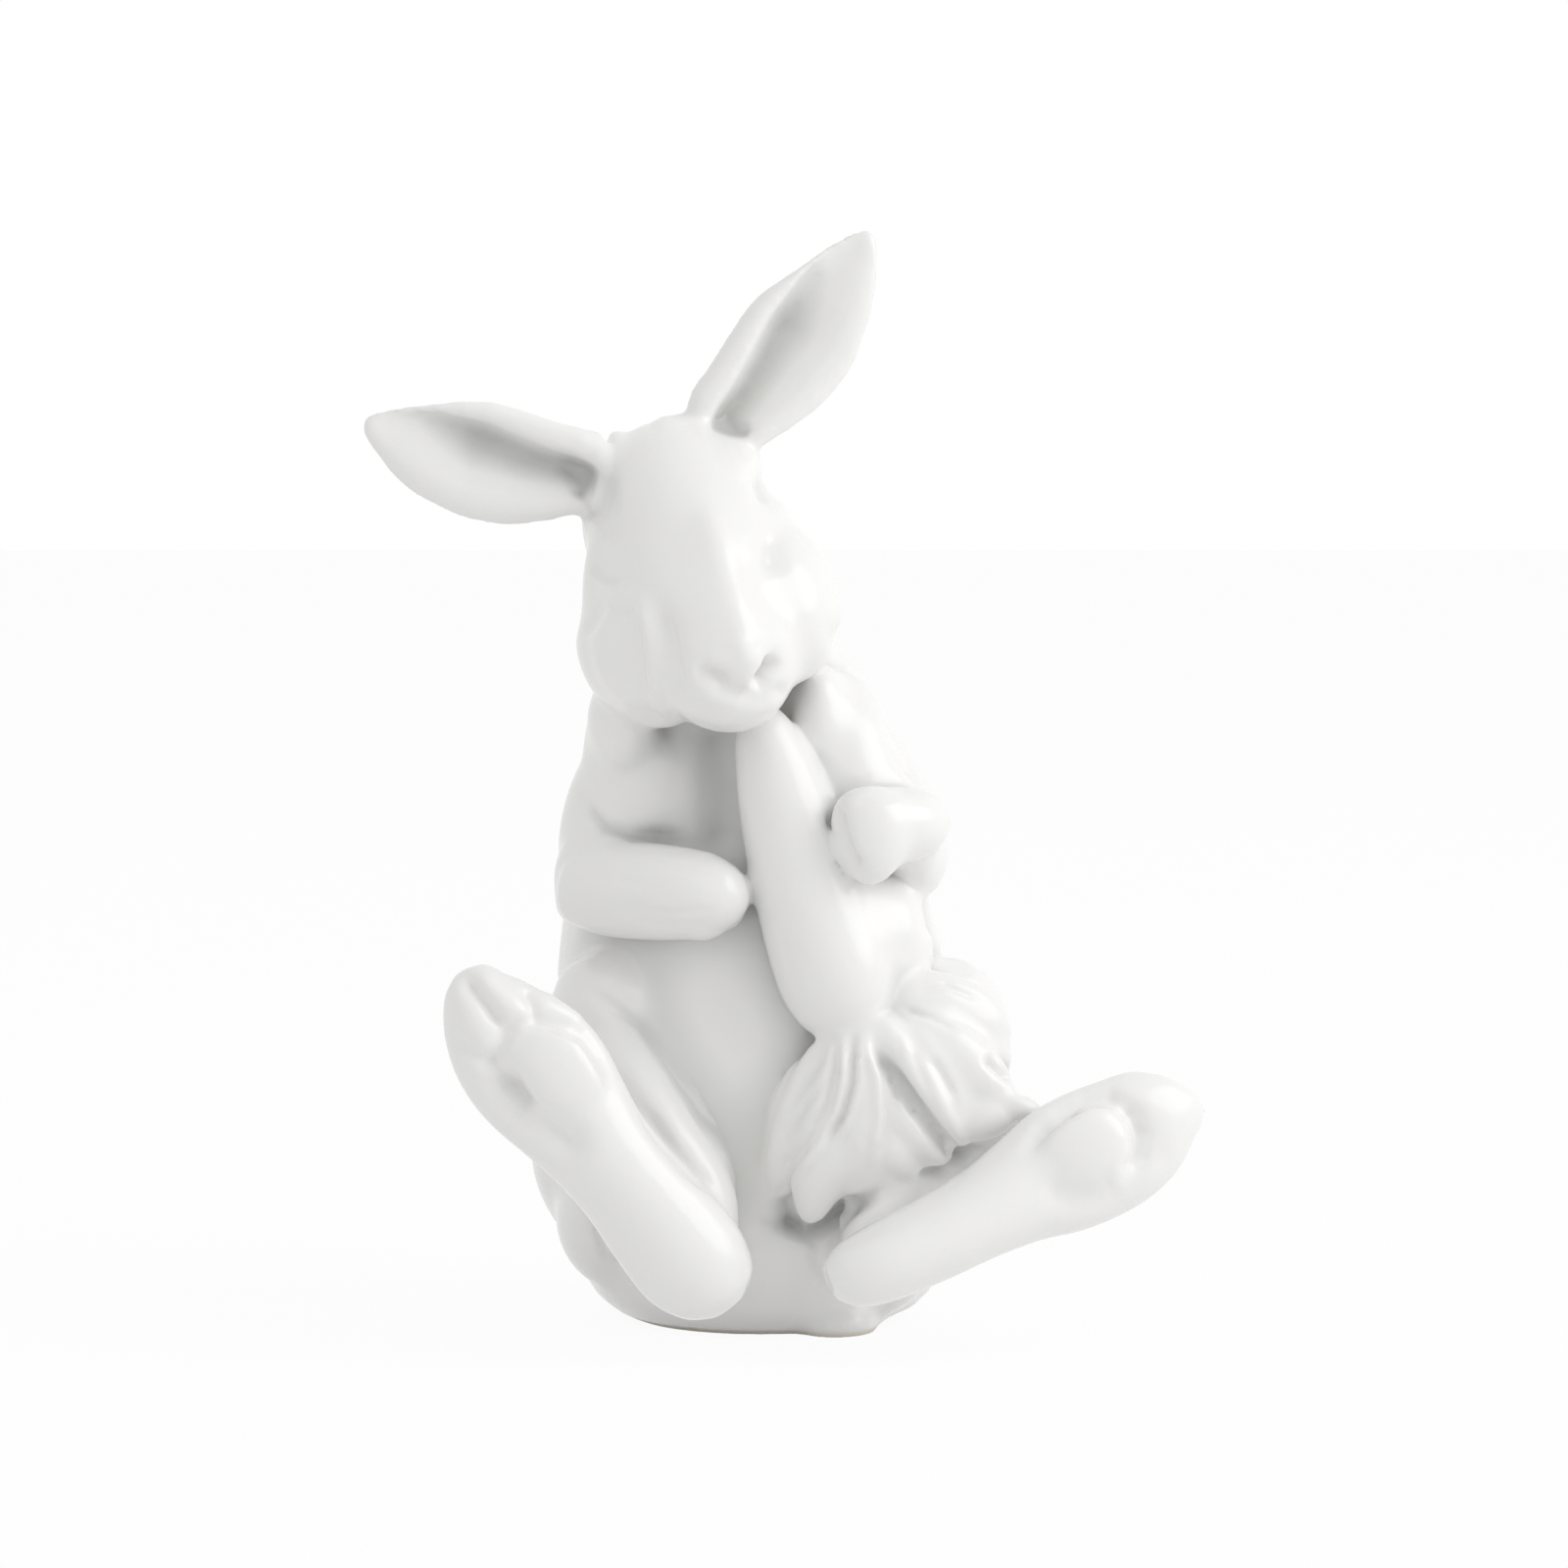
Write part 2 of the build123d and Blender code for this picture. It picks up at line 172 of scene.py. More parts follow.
body_rings = [
    (0.000, 0.315, 0.357, -0.055, 0.071),
    (0.014, 0.362, 0.405, -0.060, 0.071),
    (0.045, 0.410, 0.457, -0.070, 0.076),
    (0.114, 0.462, 0.495, -0.066, 0.083),
    (0.227, 0.493, 0.507, -0.058, 0.095),
    (0.364, 0.498, 0.495, -0.062, 0.110),
    (0.500, 0.471, 0.462, -0.075, 0.129),
    (0.636, 0.429, 0.424, -0.088, 0.143),
    (0.761, 0.379, 0.376, -0.102, 0.143),
    (0.864, 0.312, 0.319, -0.115, 0.119),
    (0.943, 0.240, 0.252, -0.127, 0.081),
    (1.000, 0.146, 0.167, -0.140, 0.048),
]
lump("body", at_body(0, 0, 0), at_body(0, 0, 1), LEFT, BODY_WIDTH, BODY_DEPTH, body_rings)
eggs_seen("body", BODY_CLAY)
egg("body", FOOT_RIM_START, FOOT_RIM_END, FOOT_RIM_WIDTH, FOOT_RIM_DEPTH)
eggs_seen("body", LAP_CLAY)

# Head
# The head is a hollow casting with puffed cheeks, nodded forward and tipped to its right.
# The muzzle and the brows are added lumps, smoothed in with a wet brush, and the shut eyes, the
# mouth and the nostril are drawn with a tool.
HEAD_LENGTH, HEAD_WIDTH, HEAD_DEPTH = 44.0, 26.0, 28.0
HEAD_NOD, HEAD_ROLL = radians(35), radians(22)
CHEEK_WIDTH, CHEEK_DEPTH = 15.0, 19.0
BROW_CLAY = {
    "left brow": ((706, 474, -12), (829, 642, -17), 9.6, 11.0),
    "right temple": ((623, 522, -12), (613, 668, -15), 5.4, 9.0),
    "front of the right cheek": ((642, 600, -21.8), (656, 722, -21.3), 9.5, 8.0),
}
MUZZLE_CLAY = {
    "muzzle": ((722, 596, -24.5), (733, 743, -24), 13.4, 13.5),
    "nose": ((755, 640, -28), (760, 706, -28), 6.0, 7.0),
}
FACE_MARKS = {
    "ridge of the nose": ("head", [(716, 510), (729, 543), (744, 590), (768, 660)], 2.0, 0.5),
    "hollow right of the nose": ("head", [(684, 560), (698, 610), (716, 650)], 3.6, -0.5),
    "hollow left of the nose": ("head", [(768, 580), (782, 625)], 3.0, -0.3),
    "fold of the right cheek": ("head", [
        (655, 612), (663, 640), (668, 664), (670, 696), (674, 718), (688, 735)], 0.75, 0.8),
    "groove beside the fold": ("head", [(671, 616), (680, 645), (686, 680), (695, 712)], 1.2, -0.85),
    "swell of the right cheek": ("head", [(644, 622), (653, 660), (658, 700)], 2.3, 0.5),
    "right half of the mouth": ("head", [(717, 689), (728, 693), (742, 701), (757, 709)], 0.9, -0.5),
    "corner of the mouth": ("head", [(718, 687), (735, 694)], 1.1, -1.1),
    "tip of the nose": ("head", [(756, 660), (764, 676), (761, 700)], 1.3, 0.35),
    "left nostril": ("head", [(791, 670), (787, 684), (777, 696), (768, 703)], 0.95, -2.0),
    "depth of the nostril": ("head", [(788, 680), (781, 692)], 0.9, -1.0),
    "rim of the nostril": ("head", [(782, 667), (770, 686), (758, 704)], 0.7, 0.3),
    "left half of the mouth": ("head", [(762, 713), (778, 712), (795, 706)], 1.2, -0.5),
    "lower lip": ("head", [(722, 712), (740, 715), (756, 716)], 1.1, 0.25),
    "left eye": ("head", [(786, 555), (788, 573)], 1.45, -0.5),
    "outer end of the right eye": ("head", [(598, 646), (608, 630), (618, 614)], 0.7, -0.4),
    "slit of the right eye": ("head", [(620, 611), (629, 621), (640, 624), (651, 620)], 0.7, -0.35),
    "hollow below the right eye": ("head", [(620, 632), (634, 637), (648, 636)], 1.3, -0.25),
    "right upper lid": ("head", [(598, 582), (617, 599), (637, 604)], 0.9, 0.4),
    "root of the right ear": ("head right_ear", [(578, 478), (592, 495)], 1.0, -0.4),
    "crease below the right ear": ("head right_ear", [(589, 500), (598, 524)], 0.6, -0.5),
    "ridge beside the right ear": ("head", [(604, 478), (605, 492), (602, 508)], 0.9, 0.5),
    "hollow beside the right ear": ("head", [(616, 478), (618, 500), (610, 522)], 1.2, -0.5),
    "root of the left ear": ("head left_ear", [(726, 430), (745, 436), (766, 440)], 0.8, -0.7),
}
head_centre = at_body(-0.217, -0.305, 1.007)
crown = Vector((-sin(HEAD_ROLL), 0, cos(HEAD_ROLL)))
forward = -BACK * cos(HEAD_NOD) - crown * sin(HEAD_NOD)
brow = crown * cos(HEAD_NOD) - BACK * sin(HEAD_NOD)
sideways = Vector((cos(HEAD_ROLL), 0, sin(HEAD_ROLL)))


def at_head(side_share, lift_share, ahead_share):
    """A point in shares of the head, from its middle, in mm."""
    return (head_centre + sideways * (side_share * HEAD_WIDTH) + brow * (lift_share * HEAD_DEPTH)
            + forward * (ahead_share * HEAD_LENGTH))


skull_rings = [
    (0.00, 0.18, 0.18, 0, -0.04),
    (0.06, 0.31, 0.33, 0.020, -0.03),
    (0.18, 0.43, 0.46, 0.035, -0.01),
    (0.35, 0.46, 0.50, 0.035, 0.00),
    (0.52, 0.45, 0.49, 0.030, -0.01),
    (0.68, 0.41, 0.44, 0.015, -0.03),
    (0.82, 0.345, 0.37, 0, -0.05),
    (0.92, 0.27, 0.30, 0, -0.05),
    (0.98, 0.18, 0.20, 0, -0.05),
    (1.00, 0.10, 0.11, 0, -0.05),
]
lump("head", at_head(0, 0, -0.5), at_head(0, 0, 0.5), sideways, HEAD_WIDTH, HEAD_DEPTH, skull_rings)
egg("head", at_head(-0.29, -0.16, -0.13), at_head(-0.33, -0.10, 0.34), CHEEK_WIDTH, CHEEK_DEPTH, sideways)
egg("head", at_head(0.285, -0.14, -0.13), at_head(0.295, -0.12, 0.37), CHEEK_WIDTH, CHEEK_DEPTH, sideways)
eggs_seen("head", BROW_CLAY)
eggs_seen("head", MUZZLE_CLAY, sideways)
tool_marks(FACE_MARKS)

# Ears
# Each ear is a pressed leaf of porcelain, cupped, with its front edge rolled into a thick rim.
# The right ear lies out flat and the left one stands.
EAR_WIDTH, EAR_DEPTH, EAR_SEGMENTS = 14.5, 7.0, 120
ear_rings = [
    (0.000, 0.200, 0.34, 0.000),
    (0.080, 0.280, 0.42, 0.000),
    (0.183, 0.352, 0.48, -0.010),
    (0.287, 0.400, 0.50, 0.030),
    (0.409, 0.452, 0.50, 0.060),
    (0.539, 0.469, 0.47, 0.065),
    (0.635, 0.435, 0.42, 0.070),
    (0.757, 0.365, 0.34, 0.065),
    (0.870, 0.255, 0.26, 0.045),
    (0.957, 0.140, 0.19, 0.025),
    (1.000, 0.055, 0.10, 0.010),
]
# Along the ear: where the rim ends and the cup begins, from -1 at the upper edge to 1 at the lower.
rim_shares = [(0.0, -0.30), (0.15, -0.34), (0.30, -0.45), (0.45, -0.57), (0.60, -0.68), (0.75, -0.78),
              (1.0, -0.86)]
# Across the rim and across the cup: how high the clay stands, as a share of the ear's depth.
rim_profile_shares = [(0.0, 0.0), (0.12, 0.30), (0.35, 0.46), (0.80, 0.50), (1.0, 0.24)]
cup_profile_shares = [(0.0, 0.24), (0.05, -0.34), (0.12, -0.66), (0.22, -0.62), (0.40, -0.30),
                      (0.58, 0.06), (0.74, 0.28), (0.88, 0.28), (0.96, 0.16), (1.0, 0.0)]
# Along the ear: how far the pressing goes.
pressed_shares = [(0.0, 0.0), (0.07, 0.3), (0.14, 1.0), (0.58, 1.0), (0.74, 0.7), (0.90, 0.4), (1.0, 0.0)]


def ear(piece, root, tip, turn):
    """A leaf whose front is pressed in to a cup with a rolled rim on its upper edge."""
    across = (BACK * turn).cross(tip - root).normalized()
    axis = (tip - root).normalized()
    front = axis.cross(across) * -turn
    table = np.array(ear_rings)
    for vert in lump(piece, root, tip, across, EAR_WIDTH, EAR_DEPTH, ear_rings, EAR_SEGMENTS):
        spot = vert.co / MM - root
        along = spot.dot(axis) / (tip - root).length
        width, depth, shift = [np.interp(along, table[:, 0], table[:, column])
                               for column in (1, 2, 3)]
        beside_middle = (spot.dot(across) / EAR_WIDTH - shift) / max(width, 0.01)
        height = spot.dot(front)
        if height > 0:
            rim = np.interp(along, *zip(*rim_shares))
            if beside_middle < rim:
                profile = np.interp((beside_middle + 1) / (rim + 1), *zip(*rim_profile_shares))
            else:
                profile = np.interp((beside_middle - rim) / (1 - rim), *zip(*cup_profile_shares))
            pressed = profile * depth * EAR_DEPTH
            vert.co += front * ((pressed - height) * np.interp(along, *zip(*pressed_shares)) * MM)


ear("right_ear", at_head(-0.152, 0.340, -0.193), at_head(-1.108, 0.812, -0.468), -1)
ear("left_ear", at_head(0.205, 0.258, -0.233), at_head(1.304, 0.671, -0.543), 1)

# Hind legs
# Each leg is one casting: a fat haunch against the flank and the shank that comes forward.
HAUNCH_WIDTH, SHANK_WIDTH = 24.0, 13.0
RIGHT_SHANK_SHARES, LEFT_SHANK_SHARE = (0.88, 0.92), 0.9
THIGH_CLAY = {"thigh under the leaves": ((930, 1200, -15.5), (1054, 1132, -17.5), 9.0, 7.0)}
SEAT_CLAY = {"right seat": ((598, 1190, -3), (645, 1312, -4), 12.0, 16.0)}
LEG_MARKS = {
    "furrow between haunch and belly": ("body right_leg", [
        (604, 1013), (653, 1044), (686, 1089), (712, 1130), (737, 1170)], 0.9, -0.8),
    "furrow along the foot": ("right_leg right_foot", [
        (655, 1130), (680, 1165), (705, 1193), (731, 1214)], 1.0, -0.6),
    "swell of the right thigh": ("right_leg", [(640, 1085), (670, 1128), (702, 1172)], 1.3, 0.25),
    "crease below the haunch": ("right_leg body", [
        (604, 1240), (618, 1280), (641, 1292), (654, 1319)], 0.5, -0.5),
}
haunch_rings = [
    (0.00, 0.20, 0.20),
    (0.06, 0.33, 0.33),
    (0.18, 0.46, 0.46),
    (0.34, 0.52, 0.52),
    (0.54, 0.46, 0.46),
    (0.74, 0.38, 0.38),
    (0.89, 0.28, 0.28),
    (0.97, 0.17, 0.17),
    (1.00, 0.09, 0.09),
]
limb_rings = [
    (0.00, 0.28, 0.28),
    (0.06, 0.41, 0.41),
    (0.20, 0.49, 0.49),
    (0.45, 0.50, 0.50),
    (0.66, 0.47, 0.47),
    (0.82, 0.40, 0.40),
    (0.93, 0.28, 0.28),
    (0.98, 0.16, 0.16),
    (1.00, 0.08, 0.08),
]
lump("right_leg", at_body(-0.330, 0.300, 0.080), at_body(-0.437, -0.271, 0.494), LEFT,
     HAUNCH_WIDTH, HAUNCH_WIDTH, haunch_rings)
lump("left_leg", at_body(0.220, 0.300, 0.080), at_body(0.425, -0.217, 0.486), LEFT,
     HAUNCH_WIDTH, HAUNCH_WIDTH, haunch_rings)
lump("right_leg", at_body(-0.430, -0.230, 0.400), at_body(-0.150, -0.560, 0.130), LEFT,
     RIGHT_SHANK_SHARES[0] * SHANK_WIDTH, RIGHT_SHANK_SHARES[1] * SHANK_WIDTH, limb_rings)
lump("left_leg", at_body(0.390, -0.170, 0.400), at_body(0.190, -0.520, 0.100), LEFT,
     LEFT_SHANK_SHARE * SHANK_WIDTH, LEFT_SHANK_SHARE * SHANK_WIDTH, limb_rings)
eggs_seen("left_leg", THIGH_CLAY)
eggs_seen("right_leg", SEAT_CLAY)
tool_marks(LEG_MARKS)

# Feet
# The long hind feet are stuck on last, with their soles to the front. A ball pad is raised on each
# sole, and the toes are parted with a wooden tool.
FOOT_WIDTH, FOOT_DEPTH = 16.0, 12.5
RIGHT_PAD = {"ball pad": ((532, 1056, -33), (600, 1146, -33), 10.8, 4.8)}
LEFT_PAD = {"ball pad": ((1050, 1202, -30.0), (1157, 1153, -29.0), 10.8, 5.0)}
RIGHT_FOOT_MARKS = {
    "between the outer toes": ("right_foot", [(474, 997), (492, 1020), (512, 1048)], 0.8, -0.9),
    "between the inner toes": ("right_foot", [(535, 1008), (541, 1022), (547, 1039)], 0.7, -0.55),
    "round the pad": ("right_foot", [
        (500, 1086), (508, 1068), (516, 1053), (530, 1044), (550, 1041), (575, 1045), (597, 1056),
        (612, 1078), (621, 1104)], 0.9, -0.9),
    "outer side of the pad": ("right_foot", [(504, 1084), (514, 1106), (530, 1128)], 1.5, -0.8),
    "hollow below the pad": ("right_foot", [
        (518, 1112), (534, 1134), (552, 1149), (576, 1166)], 2.3, -1.3),
    "below the outer toe": ("right_foot", [(461, 1061), (482, 1076), (503, 1087)], 0.8, -0.5),
    "outer toe": ("right_foot", [(467, 1016), (478, 1040), (492, 1062)], 1.5, 0.4),
    "middle toe": ("right_foot", [(497, 1004), (512, 1018), (530, 1036)], 1.5, 0.5),
    "inner toe": ("right_foot", [(560, 1020), (585, 1038)], 1.3, 0.4),
}
LEFT_FOOT_MARKS = {
    "over the pad": ("left_foot", [
        (1054, 1170), (1065, 1151), (1082, 1136), (1107, 1123), (1132, 1119),
        (1150, 1128)], 0.9, -0.8),
    "between pad and toes": ("left_foot", [
        (1140, 1124), (1156, 1137), (1164, 1156), (1163, 1182), (1150, 1202)], 1.1, -1.1),
    "below the pad": ("left_foot", [(1146, 1206), (1120, 1218), (1090, 1221), (1062, 1214)], 1.7, -0.5),
    "hollow of the toes": ("left_foot", [(1172, 1150), (1180, 1176)], 1.8, -0.35),
    "heel side of the pad": ("left_foot", [
        (1050, 1172), (1062, 1154), (1080, 1138), (1100, 1127)], 0.8, -0.6),
    "crease round the heel": ("left_foot body left_leg", [
        (838, 1258), (831, 1285), (840, 1314)], 0.7, -0.5),
}
right_foot_rings = [
    (0.000, 0.110, 0.13, 0.000),
    (0.015, 0.200, 0.25, 0.000),
    (0.050, 0.320, 0.38, -0.005),
    (0.130, 0.410, 0.48, -0.020),
    (0.250, 0.410, 0.50, -0.024),
    (0.370, 0.378, 0.47, -0.035),
    (0.480, 0.388, 0.43, -0.055),
    (0.570, 0.435, 0.41, -0.060),
    (0.660, 0.490, 0.40, -0.066),
    (0.740, 0.495, 0.39, -0.078),
    (0.820, 0.440, 0.36, -0.100),
    (0.900, 0.340, 0.31, -0.105),
    (0.960, 0.240, 0.22, -0.075),
    (0.990, 0.140, 0.13, -0.045),
    (1.000, 0.060, 0.07, -0.055),
]
left_foot_rings = [
    (0.000, 0.110, 0.16, -0.070),
    (0.015, 0.160, 0.26, -0.075),
    (0.050, 0.230, 0.38, -0.085),
    (0.130, 0.280, 0.48, -0.088),
    (0.270, 0.300, 0.50, -0.080),
    (0.400, 0.325, 0.47, -0.050),
    (0.510, 0.385, 0.43, -0.012),
    (0.600, 0.455, 0.41, 0.006),
    (0.690, 0.478, 0.40, 0.012),
    (0.780, 0.460, 0.38, 0.018),
    (0.860, 0.410, 0.34, 0.045),
    (0.930, 0.305, 0.26, 0.070),
    (0.980, 0.170, 0.15, 0.050),
    (1.000, 0.050, 0.07, 0.020),
]


def foot(piece, heel, toe, rings, turn):
    """A long foot with its sole to the front."""
    lump(piece, heel, toe, (BACK * turn).cross(toe - heel), FOOT_WIDTH, FOOT_DEPTH, rings)


foot("right_foot", at_body(-0.128, -0.714, 0.069), at_body(-0.744, -0.690, 0.511), right_foot_rings, 1)
eggs_seen("right_foot", RIGHT_PAD)
tool_marks(RIGHT_FOOT_MARKS)
foot("left_foot", at_body(0.097, -0.786, 0.117), at_body(1.004, -0.524, 0.317), left_foot_rings, -1)
eggs_seen("left_foot", LEFT_PAD)
tool_marks(LEFT_FOOT_MARKS)

# Tail
# The scut is one round lump at the back, above the foot.
TAIL_WIDTH = 14.0
lump("tail", at_body(-0.06, 0.42, 0.08), at_body(-0.06, 0.747, 0.147), LEFT,
     TAIL_WIDTH, TAIL_WIDTH, egg_rings)

# Arms
# Each arm is an upper arm and a forearm in one, bent round the carrot. The left paw lies on it, and
# clay fills the hollow between the left upper arm and the carrot.
UPPER_ARM_WIDTH, FOREARM_WIDTH = 14.0, 11.4
PAW_TOP, PAW_END, PAW_WIDTH, PAW_DEPTH = (893, 800, -21.5), (887, 906, -22.5), 9.8, 8.0
RIGHT_ARM_CLAY = {
    "wrist": ((668, 914, -16.5), (757, 914, -18.0), 10.4, 9.6),
    "paw": ((712, 915, -16.5), (763, 913, -17.5), 8.0, 8.2),
    "elbow": ((590, 850, -8), (592, 945, -8), 5.6, 9.0),
}
LEFT_ARM_CLAY = {
    "elbow": ((925, 800, -8), (940, 918, -11), 9.0, 15.0),
    "forearm": ((938, 850, -12), (872, 842, -22), 9.0, 9.5),
    "outer side of the forearm": ((874, 840, -22.5), (965, 842, -14), 9.2, 10.4),
    "wrist": ((926, 812, -19.5), (926, 862, -19.5), 7.5, 8.0),
    "front of the upper arm": ((846, 688, -3), (882, 852, -15.0), 12.0, 12.0),
    "outer side of the upper arm": ((888, 742, -4), (926, 850, -12.5), 6.6, 12.0),
    "filling beside the carrot": ((824, 686, -5.5), (862, 812, -11.5), 8.0, 13.0),
    "filling below the cheek": ((832, 682, -6.5), (846, 756, -11.5), 6.4, 10.0),
}
RIGHT_ARM_MARKS = {
    "slot between chest and carrot": ("body", [(728, 752), (730, 800), (727, 842)], 2.5, -1.5),
    "crease over the forearm": ("right_arm body", [
        (596, 806), (605, 828), (619, 842), (645, 850), (705, 852)], 0.8, -0.8),
    "lower stroke of fur": ("right_arm", [(640, 926), (682, 934), (724, 928)], 0.6, -0.25),
    "lowest stroke of fur": ("right_arm", [(655, 943), (690, 946), (718, 940)], 0.6, -0.15),
    "upper stroke of fur": ("right_arm", [(660, 878), (700, 885), (732, 898)], 0.6, -0.15),
    "short stroke of fur": ("right_arm", [(626, 898), (660, 904)], 0.7, -0.12),
}
LEFT_ARM_MARKS = {
    "crease over the paw": ("left_arm", [(860, 803), (885, 796), (910, 799), (934, 808)], 0.8, -0.25),
    "second crease over the paw": ("left_arm", [(872, 820), (893, 812), (918, 812)], 0.7, -0.2),
    "fold over the elbow": ("left_arm body", [(910, 774), (932, 788), (948, 806)], 0.6, -0.4),
    "valley beside the carrot": ("left_arm body", [(790, 735), (816, 775), (838, 806)], 1.5, -0.3),
    "slot between paw and carrot": ("left_arm carrot", [
        (850, 822), (855, 848), (863, 870), (876, 890)], 0.9, -1.5),
}
paw_rings = [
    (0.00, 0.00, 0.00),
    (0.05, 0.28, 0.24),
    (0.18, 0.45, 0.42),
    (0.38, 0.50, 0.50),
    (0.60, 0.45, 0.47),
    (0.80, 0.33, 0.36),
    (0.94, 0.17, 0.19),
    (1.00, 0.00, 0.00),
]
lump("right_arm", at_body(-0.290, 0.0, 0.835), at_body(-0.477, -0.167, 0.560), LEFT,
     UPPER_ARM_WIDTH, UPPER_ARM_WIDTH, egg_rings)
lump("right_arm", at_body(-0.512, -0.200, 0.592), at_body(-0.093, -0.490, 0.590), LEFT,
     FOREARM_WIDTH, FOREARM_WIDTH, limb_rings)
eggs_seen("right_arm", RIGHT_ARM_CLAY)
tool_marks(RIGHT_ARM_MARKS)
lump("left_arm", at_body(0.080, 0.019, 0.850), at_body(0.345, -0.124, 0.570), LEFT,
     UPPER_ARM_WIDTH, UPPER_ARM_WIDTH, egg_rings)
eggs_seen("left_arm", LEFT_ARM_CLAY)
lump("left_arm", seen_at(*PAW_TOP), seen_at(*PAW_END), LEFT, PAW_WIDTH, PAW_DEPTH, paw_rings)
tool_marks(LEFT_ARM_MARKS)

# Carrot
# The carrot is a solid tapered root with its point up under the chin.
CARROT_WIDTH = 13.8
carrot_rings = [
    (0.00, 0.11, 0.11),
    (0.03, 0.18, 0.18),
    (0.10, 0.27, 0.27),
    (0.30, 0.40, 0.40),
    (0.55, 0.48, 0.48),
    (0.78, 0.50, 0.50),
    (0.90, 0.43, 0.43),
    (0.97, 0.29, 0.29),
    (1.00, 0.15, 0.15),
]
lump("carrot", at_body(-0.067, -0.320, 0.835), at_body(0.171, -0.438, 0.403), LEFT,
     CARROT_WIDTH, CARROT_WIDTH, carrot_rings)

# Leaves
# Six pressed and tooled blades fan out from the top of the carrot, from the rabbit's right to its
# left. The last covers the knee. Below them a cavity is cut, down to the left heel.
LEAVES = {
    "leaf_1": {"blade": ((850, 1056, -20), (790, 1220, -17.5), 6.5, 4.4),
               "edge": ((824, 1080, -18), (790, 1190, -17.0), 5.0, 4.0)},
    "leaf_2": {"blade": ((864, 1050, -21.5), (818, 1241, -20.0), 5.5, 5.0),
               "hem": ((870, 1108, -21.5), (823, 1248, -20.3), 6.7, 5.0)},
    "leaf_3": {"blade": ((886, 1045, -22), (877, 1220, -21.2), 7.6, 5.6),
               "lobe": ((890, 1115, -21.5), (969, 1185, -21), 6.0, 4.6),
               "web": ((890, 1140, -21.5), (930, 1206, -21.0), 5.4, 4.6)},
    "leaf_4": {"blade": ((888, 1034, -21.0), (986, 1169, -22.0), 6.0, 5.6),
               "edge": ((930, 1045, -21), (992, 1160, -21.5), 6.0, 5.0)},
    "leaf_5": {"blade": ((922, 1035, -19.5), (1038, 1136, -20.5), 7.6, 6.0),
               "hem": ((966, 1153, -20.8), (1040, 1130, -21.2), 5.2, 5.2),
               "tip": ((1000, 1117, -20.5), (1063, 1137, -21.5), 3.4, 4.0)},
    "leaf_6": {"blade": ((880, 1030, -17.5), (1031, 1062, -15.0), 12.5, 8.0),
               "fold": ((930, 1015, -16.5), (1024, 1102, -15.5), 9.5, 7.0),
               "tip": ((1004, 1072, -17), (1022, 1096, -16.5), 2.6, 3.0)},
}
LEAF_MARKS = {
    "upper fold of leaf 6": ("leaf_6 leaf_5", [(922, 1029), (945, 1036), (975, 1050)], 0.4, -0.4),
    "fold over the knee": ("leaf_6 left_leg", [(935, 1012), (965, 1006), (1000, 1020)], 0.4, -0.3),
    "short fold of leaf 6": ("leaf_6", [(985, 1060), (1012, 1066)], 0.4, -0.25),
    "notch below leaf 6": ("leaf_6 leaf_5 left_leg", [
        (1012, 1083), (1021, 1091), (1028, 1096)], 0.7, -1.2),
    "furrow of leaf 4": ("leaf_4 leaf_5", [(925, 1070), (938, 1100), (952, 1134)], 0.6, -0.3),
    "furrow of leaf 5": ("leaf_4 leaf_5", [(950, 1080), (962, 1098), (974, 1120)], 0.6, -0.4),
    "rib of leaf 5": ("leaf_4 leaf_5", [(944, 1082), (960, 1125), (980, 1158)], 0.7, 0.2),
    "rib of leaf 4": ("leaf_4", [(921, 1062), (934, 1095), (950, 1130)], 0.5, 0.3),
    "rib of leaf 3": ("leaf_3", [(884, 1059), (895, 1100), (897, 1141), (889, 1185)], 0.6, 0.5),
    "furrow of leaf 3": ("leaf_3", [(905, 1125), (907, 1150), (900, 1180)], 0.5, -0.2),
    "long rib": ("leaf_1 leaf_2 leaf_3", [
        (861, 1058), (862, 1100), (855, 1132), (840, 1162), (820, 1190), (806, 1206)], 0.7, 0.7),
    "furrow right of the long rib": ("leaf_1 leaf_2", [
        (852, 1062), (852, 1095), (843, 1128), (825, 1158), (806, 1184)], 0.5, -0.5),
    "furrow left of the long rib": ("leaf_2 leaf_3", [
        (871, 1062), (869, 1105), (860, 1137), (843, 1165)], 0.5, -0.8),
    "rib of leaf 2": ("leaf_2 leaf_3", [(876, 1060), (875, 1108), (863, 1148), (843, 1180)], 0.4, 0.4),
}
VEINS = 4
VEIN_GROOVE, GROOVE_RISE = [(842, 1078), (822, 1100), (802, 1136)], -0.28
VEIN_RIDGE, RIDGE_RISE = [(846, 1092), (826, 1114), (802, 1152)], 0.2
VEIN_STEPS, VEIN_WIDTH = [(-4, 28), (-4, 30), (-4, 30)], 0.5
CAVITY_MARKS = {
    "cavity": ("body left_leg left_foot", [
        (786, 1249), (806, 1250), (824, 1258), (842, 1250), (862, 1234), (880, 1224),
        (898, 1217)], 1.1, -1.8),
    "right end of the cavity": ("body left_leg", [(804, 1232), (812, 1250)], 1.3, -1.2),
    "slit over the left foot": ("left_leg left_foot", [
        (926, 1202), (942, 1197), (958, 1194)], 0.8, -0.8),
    "split between leaves 3 and 4": ("leaf_3 leaf_4 leaf_5 left_leg body", [
        (891, 1066), (908, 1091), (935, 1130), (963, 1168), (984, 1189)], 0.9, -1.5),
    "hem on the left thigh": ("left_leg body", [(975, 1182), (1005, 1164), (1038, 1141)], 0.9, -0.8),
}


def vein(number, way):
    """One of the short veins across the first leaves, each some way below the last."""
    return [(across + number * aside, down + number * lower)
            for (across, down), (aside, lower) in zip(way, VEIN_STEPS)]


